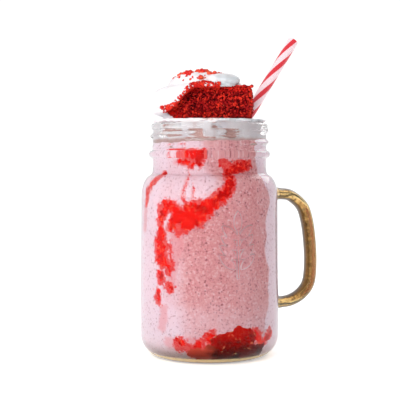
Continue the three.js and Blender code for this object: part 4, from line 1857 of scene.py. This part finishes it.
@dataclass
class CakeWedge:
    """The wedge of sponge cake: its cut side to the front, its thin tip to the left."""

    left: float = -24.5
    right: float = 25.5
    front: float = -13.0
    tip_depth: float = 6.0
    crust_depth: float = 27.0
    base: float = 136.8
    gap: float = 0.3
    tip_height: float = 5.0
    height: float = 18.6
    full_at: float = 0.32
    tip_lift: float = 2.4
    tip_lift_end: float = 0.12
    rounding: float = 0.24
    cuts: int = 120
    room_cuts: int = 20

    def place(self, along: Field, into: Field, up: Field, clearance: float = 0, reach: float = 0) -> Points:
        """Places of the wedge given by three numbers from -1 to 1.

        Args:
            along: From the tip to the baked end.
            into: From the cut side to the back.
            up: From the underside to the top.
            clearance: How far the wedge is grown.
            reach: How far the cut side is drawn out to the front.

        Returns:
            Points in the serving.
        """
        share = (along + 1) / 2
        depth = self.tip_depth + (self.crust_depth - self.tip_depth) * share
        tall = self.tip_height + (self.height - self.tip_height) * smoothstep(0, self.full_at, share)
        lift = self.tip_lift * (1 - smoothstep(0, self.tip_lift_end, share))
        return np.stack(
            [
                self.left + (self.right - self.left) * share + clearance * along,
                self.front - reach * (1 - into) / 2 + depth * (into + 1) / 2 + clearance * into,
                self.base - self.gap + lift * (1 - up) / 2 + tall * (up + 1) / 2 + clearance * up,
            ],
            -1,
        )

    def block(self, name: str, cuts: int) -> tuple[Piece, np.ndarray]:
        """A cube cut into small squares, and its points from -1 to 1."""
        made = bmesh.new()
        bmesh.ops.create_cube(made, size=2.0)
        bmesh.ops.subdivide_edges(made, edges=made.edges[:], cuts=cuts, use_grid_fill=True)
        obj = from_bmesh(name, made)
        return obj, read_points(obj) * MM

    def room(self, clearance: float, reach: float) -> Piece:
        """The room that the cake takes in the cream, open to the front."""
        obj, cube = self.block("cake_room", self.room_cuts)
        write_points(obj, serving(self.place(*cube.T, clearance, reach)))
        return obj

    def sponge(self) -> Piece:
        """The cake, rounded, crumbly and full of pores."""
        cake, cube = self.block("cake_sponge", self.cuts)
        length = np.linalg.norm(cube, axis=1, keepdims=True)
        soft = cube * (1 - self.rounding + self.rounding / length)
        write_points(cake, serving(self.place(*soft.T)))
        points, normals = read_points(cake), read_normals(cake)
        noise = Noise(51)
        broad = noise.layered(points, 7.0, 2)
        crumb = noise.layered(points + 60, 1.5, 2, 0.75)
        pores = np.clip(noise.layered(points + 90, 1.05, 2, 0.6) - 0.05, 0, 1)
        push = 0.7 * broad + 0.55 * crumb - 1.2 * pores
        write_points(cake, points + normals * push[:, None])
        # painted shade in the pores, where the surface is pushed in
        write_field(cake, "pit", np.clip(0.3 - 0.6 * crumb + 1.5 * pores, 0, 1.5))
        # painted light along the top and the left slope
        rims = [smoothstep(0.35, 0.95, soft[:, 2]), smoothstep(-0.45, -0.85, soft[:, 0])]
        write_field(cake, "edge", np.max(rims, axis=0))
        # painted orange light on the right end
        write_field(cake, "end", smoothstep(0.72, 0.98, soft[:, 0]))
        return cake

    def top_edge(self) -> Piece:
        """The front strip of the wedge's top as an open patch, on which crumbs lie."""
        along, into = np.meshgrid(np.linspace(-0.97, 0.97, 80), np.linspace(-0.98, -0.5, 6))
        return patch("top_edge", serving(self.place(along, into, np.ones_like(along), -0.3)))

    def build(self) -> list[Piece]:
        """Makes and dresses the cake and its loose crumbs."""
        cake = self.sponge()
        finish = CrumbKind.CAKE.value.material()
        bits = Scatter("cake_bits", 46.0, 0.2, 0.75, stretch=1.3, seed=7)
        loose = bits.over(linked("crumb_ground", cake.data.copy()), finish)
        fringe = Scatter("cake_fringe", 70.0, 0.35, 1.1, sink=-0.3, seed=8)
        shed = fringe.over(self.top_edge(), finish)
        return [
            dress(cake, Sponge().material(), "cake", "cake"),
            dress(loose, finish, "cake"),
            dress(shed, finish, "cake"),
        ]


@dataclass
class CreamMound:
    """Whipped cream: a plug in the neck, a thin skirt over the lip and a wound mound above it."""

    radius: float = 28.5
    middle: float = 143.0
    depth: float = 8.6
    rise: float = 22.0
    crown: float = 0.8
    back: float = 4.5
    low_shift: float = -7.0
    high_shift: float = -2.5
    ropes: float = 5.0
    fold: float = 4.2
    groove: float = 0.2
    cake_clearance: float = -0.4
    cake_reach: float = 40.0
    dollop: Sequence[float] = (7.0, -8.5, 158.6)
    dollop_halves: Sequence[float] = (10.5, 8.5, 4.2)
    dollop_turn: float = 8.0
    skirt_radius: float = 33.2
    skirt_height: float = 2.0
    lip_top: float = 134.3
    level: float = 119.0
    reach: float = 0.04
    columns: int = 300
    voxel: float = 0.5
    crumb_count: int = 26
    crumb_large: float = 2.8
    crumb_small: float = 1.3
    crumb_seed: int = 7

    def surface(self, angle: np.ndarray, latitude: np.ndarray, detail: float = 0.0) -> Points:
        """Places on the mound, a rope of cream wound up to a soft peak.

        Args:
            angle: Angles round the mound, in radians.
            latitude: Latitudes in radians.
            detail: Depth of the fine grooves that run along the rope.

        Returns:
            Points in the serving.
        """
        share = latitude / math.pi + 0.5
        rope = share * self.ropes - angle / (2 * math.pi)
        across = 2 * (rope - np.floor(rope)) - 1
        fold = self.fold * (1 - share**6) * across**2
        fold = fold + detail * (1 + np.cos(7 * math.pi * across)) * (1 - share**6)
        rise = np.sin(latitude)
        lift = np.clip(rise, 0, 1) ** self.crown * (self.rise - fold) + np.clip(rise, -1, 0) * self.depth
        radius = (self.radius - fold) * np.cos(latitude)
        shift = self.low_shift + (self.high_shift - self.low_shift) * np.clip(rise, 0, 1)
        across, deep = shift + radius * np.cos(angle), self.back + radius * np.sin(angle)
        return np.stack([across, deep, self.middle + lift], -1)

    def mound(self) -> Piece:
        """The wound mound as a closed body."""
        rings = self.surface(*globe(260, 200), self.groove)
        low = np.array([self.low_shift, self.back, self.middle - self.depth])
        high = np.array([self.high_shift, self.back, self.middle + self.rise])
        return round_body("mound", serving(rings), serving(low), serving(high))

    def plug(self) -> Piece:
        """The cream in the neck, grooved where its turns press against the glass."""
        neck = HOLLOW.neck + self.reach
        top = self.lip_top + self.skirt_height
        profile = refined(
            [
                (0.0, self.level), (neck, self.level), (neck, 133.0), (neck + 0.5, 134.2),
                *arc((self.skirt_radius - 1.3, self.lip_top + 1.0), (1.3, 0.95), -90, 70, 6),
                (self.skirt_radius - 6, top), (0.0, top),
            ],
            0.5,
        )
        radius, height, angle = spun(profile, full_turn(self.columns))
        flat = ring_points(radius, height, angle).reshape(-1, 3)
        wobble = Noise(61).layered(flat, 7.0, 4, 0.6).reshape(radius.shape)
        turn = (np.degrees(angle).ravel() + 270) % 360 - 180
        gap = edge_distance(NECK_FOLDS, turn, height.ravel()).reshape(radius.shape)
        depth = 2.2 * smoothstep(0.9, -0.9, gap + 1.3 * wobble)
        inside = (height > self.level + 0.5) & (radius > neck - 0.6)
        rings = ring_points(radius - np.where(inside, depth, 0.0), height, angle)
        return round_body("plug", serving(rings), on_axis(self.level), on_axis(top))

    def crumb_places(self) -> list[tuple[Points, float]]:
        """Where the large crumbs lie and how large they are, by the rule that the frame follows."""
        state = self.crumb_seed

        def draw() -> float:
            """The next number from 0 to 1."""
            nonlocal state
            state = (state * 1664525 + 1013904223) % 2**32
            return state / 2**32

        places = []
        for i in range(self.crumb_count):
            share = math.sqrt(i / self.crumb_count)
            size = self.crumb_large + (self.crumb_small - self.crumb_large) * share
            turn = -155 + 115 * draw() if i % 4 != 3 else 360 * draw()
            latitude = math.radians(50 + 32 * draw())
            for _ in range(12):
                draw()
            spot = self.surface(np.array(math.radians(turn)), np.array(latitude))
            places.append((spot, size))
        return places

    def crumbs(self) -> Piece:
        """The large crumbs, as rough lumps half sunk in the cream."""
        lumps = []
        for i, (spot, size) in enumerate(self.crumb_places()):
            halves = [size * 1.05, size * 0.85, size * 0.8]
            lumps.append(oval("lump", halves, spot, 37.0 * i, 26, 18))
        cluster = joined("cream_crumbs", lumps)
        points = read_points(cluster)
        push = 0.75 * Noise(63).layered(points, 2.6, 3, 0.6)
        write_points(cluster, points + read_normals(cluster) * push[:, None])
        return cluster

    def by_the_cake(self, cream: Piece) -> np.ndarray:
        """Which faces of the cream lie along the sloping edge of the cake."""
        cake = CakeWedge()
        centres = np.empty(len(cream.data.polygons) * 3)
        cream.data.polygons.foreach_get("center", centres)
        across, deep, height = from_serving(centres.reshape(-1, 3) / MM).T
        share = (across - cake.left) / (cake.right - cake.left)
        along = np.clip(2 * share - 1, -1, 1)
        top = cake.place(along, np.full_like(along, -1.0), np.ones_like(along))[:, 2]
        beside = (share > -0.06) & (share < 0.6) & (deep < cake.front + 2)
        return beside & (np.abs(height - top - 0.4) < 1.9) & (height > cake.base + 0.5)

    def dust_ground(self) -> Piece:
        """The front and top of the mound as an open patch, on which fine crumbs fall."""
        angle, latitude = np.radians(np.meshgrid(np.linspace(-175, -15, 60), np.linspace(46, 86, 24)))
        return patch("dust_ground", serving(self.surface(angle, latitude, self.groove)))

    def cream(self) -> Piece:
        """The mound, the plug and the dollop as one skin, ragged at its skirt and softly uneven."""
        room = CakeWedge().room(self.cake_clearance, self.cake_reach)
        mound = combine(self.mound(), room, Cut.TAKE_AWAY)
        dollop = oval("dollop", self.dollop_halves, np.array(self.dollop), self.dollop_turn, 60, 40)
        cream = remeshed(joined("cream_swirl", [mound, self.plug(), dollop]), self.voxel, 3)
        points, normals = read_points(cream), read_normals(cream)
        noise = Noise(62)
        above = smoothstep(134.6, 137.5, points[:, 2])
        flat = np.hypot(points[:, 0], points[:, 1])
        edge = smoothstep(30.6, 32.8, flat) * (points[:, 2] < 138.5) * (points[:, 2] > 133.4)
        pull = edge * np.clip(1.3 + 2.2 * noise.layered(points + 80, 7.0, 3), 0, 3.4)
        points[:, :2] *= 1 - (pull / np.maximum(flat, 1.0))[:, None]
        push = (0.45 * noise.layered(points, 8.0, 2) + 0.16 * noise.layered(points + 30, 2.2, 3)) * above
        write_points(cream, points + normals * push[:, None])
        self.mark(cream, points, noise)
        return cream

    def mark(self, cream: Piece, points: Points, noise: Noise) -> None:
        """Marks where the drink's pink has mixed into the cream, where painted shade lies in its grooves
        and beside the cake, and where the dollop lies in shade.

        Args:
            cream: The cream.
            points: Its points before they were made uneven.
            noise: Noise of the stains.
        """
        away = HOLLOW.neck - np.hypot(points[:, 0], points[:, 1])
        across, deep, height = from_serving(points).T
        below = smoothstep(135.6, 134.0, height)
        mixed = 0.4 * smoothstep(-0.1, 0.5, noise.layered(points * [1, 1, 2.2] + 17, 9.0, 3, 0.6))
        mixed = np.maximum(mixed, 0.75 * smoothstep(128.0, 123.5, height))
        # painted shade in the grooves where the cream stands back from the glass, joined with the drink's
        # stain in patches and low in the neck
        groove_shade_and_stain = np.maximum(smoothstep(0.2, 1.3, away), mixed) * below
        # painted shade with the cake's red cast, on the cream beside the cake's top
        painted_shade_by_cake = 0.55 * smoothstep(9, 3, np.abs(across - 1)) * smoothstep(158.5, 155.5, height)
        write_field(cream, "stain", np.maximum(groove_shade_and_stain, painted_shade_by_cake * (1 - below) * (deep < -9)))
        front = smoothstep(-2, -8, deep) * smoothstep(1, 6, across)
        write_field(cream, "shade", 0.75 * front * smoothstep(163.5, 159.5, height) * (1 - below))

    def build(self) -> list[Piece]:
        """Makes and dresses the cream and the crumbs on it."""
        cream = self.cream()
        sprinkled = CrumbKind.SPRINKLED.value.material()
        spilt = CrumbKind.SPILT.value.material()
        border = part_of("cake_border", cream, self.by_the_cake(cream))
        dust = Scatter("cream_dust", 13.0, 0.2, 0.75, stretch=1.1, seed=11)
        spill = Scatter("cream_spill", 55.0, 0.35, 1.2, seed=13)
        return [
            dress(cream, Cream().material(), "cream", "whipped_cream"),
            dress(self.crumbs(), sprinkled, "cream"),
            dress(dust.over(self.dust_ground(), sprinkled), sprinkled, "cream"),
            dress(spill.over(border, spilt), spilt, "cream"),
        ]


@dataclass
class Straw:
    """The striped straw, open at both ends."""

    outer: float = 3.25
    bore: float = 2.75
    at_lip: tuple[float, float] = (20.0, 16.6)
    lean: tuple[float, float] = (0.61, 0.507)
    lip: float = 134.0
    low: float = 68.0
    high: float = 186.5
    edge: float = 0.12
    columns: int = 64
    rows: int = 90

    def middle(self, height: float) -> Points:
        """The straw's axis at a height, in the serving."""
        rise = height - self.lip
        across, deep = np.array(self.at_lip) + np.array(self.lean) * rise
        return np.array([across, deep, height])

    def build(self) -> list[Piece]:
        """Makes and dresses the straw."""
        start, end = self.middle(self.low), self.middle(self.high)
        length = float(np.linalg.norm(end - start))
        axis = (end - start) / length
        side = np.cross(axis, [0, 0, 1])
        side /= np.linalg.norm(side)
        up = np.cross(side, axis)
        tip = length - self.edge
        course = [(self.bore, 0.0), (self.outer, 0.0)]
        course += [(self.outer, length * i / self.rows) for i in range(1, self.rows)]
        course += [(self.outer, tip), (self.outer - self.edge, length), (self.bore + self.edge, length)]
        course += [(self.bore, tip)]
        radius, along = np.array(course).T
        angle = full_turn(self.columns)[:, None]
        around = side * np.cos(angle) - up * np.sin(angle)
        rings = start + axis * along[:, None, None] + radius[:, None, None] * around
        row, column = (grid.ravel() for grid in np.mgrid[0 : len(course), 0 : self.columns])
        rows = np.stack([row, row, (row + 1) % len(course), (row + 1) % len(course)], -1)
        columns = np.stack([column, column + 1, column + 1, column], -1)
        faces = rows * self.columns + columns % self.columns
        straw = mesh_object("paper_straw", serving(rings), faces.tolist())
        layer = straw.data.uv_layers.new(name="around_along")
        layer.data.foreach_set("uv", np.stack([columns / self.columns, along[rows]], -1).ravel())
        straw.data.set_sharp_from_angle(angle=math.radians(40))
        return [dress(straw, StripedPaper().material(), "straw", "straw")]


@dataclass
class Studio:
    """Floor, light and camera."""

    distance: float = 620.0
    eye_height: float = 116.3
    focal_pixels: float = 1064.0
    image_pixels: float = 400.0
    sensor: float = 36.0
    axis_right_pixels: float = 9.5
    horizon_up_pixels: float = 46.0
    floor_half: float = 20000.0
    target_height: float = 85.0
    backdrop: float = 1.08
    around: float = 0.5
    fall_start: float = -0.1
    fall_end: float = 0.8

    def floor(self) -> None:
        """A wide pale floor."""
        half = self.floor_half
        corners = [[-half, -half, 0.0], [half, -half, 0.0], [half, half, 0.0], [-half, half, 0.0]]
        floor = mesh_object("floor", corners, [[0, 1, 2, 3]])
        floor.data.materials.append(Ground().material())

    def camera(self) -> None:
        """The camera, level and turned with the serving, framed as the photograph is."""
        data = bpy.data.cameras.new("camera")
        data.sensor_width = self.sensor
        data.lens = self.focal_pixels / self.image_pixels * self.sensor
        data.shift_x = -self.axis_right_pixels / self.image_pixels
        data.shift_y = -self.horizon_up_pixels / self.image_pixels
        data.clip_start = 0.01
        data.clip_end = 50.0
        camera = linked("camera", data)
        camera.location = serving(np.array([0.0, -self.distance, self.eye_height])) * MM
        camera.rotation_euler = (math.radians(90), 0.0, math.radians(SERVING_TURN))
        bpy.context.scene.camera = camera

    def softbox(self, name: str, place: Sequence[float], size: Pair, watts: float) -> None:
        """A large rectangular light that faces the middle of the jar.

        Args:
            name: Name of the light.
            place: Its place in the serving.
            size: Its width and height.
            watts: Its power.
        """
        data = bpy.data.lights.new(name, "AREA")
        data.shape = "RECTANGLE"
        data.size, data.size_y = size[0] * MM, size[1] * MM
        data.energy = watts
        light = linked(name, data)
        spot = serving(np.array(place, dtype=float))
        way = on_axis(self.target_height) - spot
        heading = way / np.linalg.norm(way)
        turn = math.atan2(heading[1], heading[0]) - math.pi / 2
        light.rotation_euler = (math.acos(-heading[2]), 0.0, turn)
        light.location = spot * MM

    def world(self) -> None:
        """A white backdrop behind the serving and grey surroundings, which draw the glass's edges."""
        world = bpy.data.worlds.new("surroundings")
        world.use_nodes = True
        bpy.context.scene.world = world
        tree = Tree(world.node_tree)
        place = tree.node("ShaderNodeTexCoord").outputs["Generated"]
        away = serving(np.array([0.0, 1.0, 0.0]))
        inputs = {0: place, 1: away.tolist()}
        ahead = tree.number("ShaderNodeVectorMath", {"operation": "DOT_PRODUCT"}, inputs, "Value")
        level = ahead.step(self.fall_start, self.fall_end) * (self.backdrop - self.around) + self.around
        shader = tree.node("ShaderNodeBackground", {}, {"Color": (1.0, 1.0, 1.0, 1.0), "Strength": level})
        tree.node("ShaderNodeOutputWorld", {}, {"Surface": shader.outputs[0]})

    def build(self) -> None:
        """Makes the floor, the lights and the camera."""
        self.floor()
        self.camera()
        self.softbox("front", (-330, -560, 330), (560, 460), 4.3)
        self.softbox("behind", (520, 620, 620), (500, 500), 1.8)
        self.world()
        bpy.context.scene.view_settings.view_transform = "Standard"


def main() -> None:
    """Builds the studio and every piece in turn."""
    logging.basicConfig(level=logging.INFO, format="%(message)s")
    Studio().build()
    for part in (Jar(), Drink(), WallSyrup(), FloorFruit(), CreamMound(), CakeWedge(), Straw()):
        pieces = part.build()
        LOG.info("%s: %s", type(part).__name__, ", ".join(piece.name for piece in pieces))


if __name__ == "__main__":
    main()
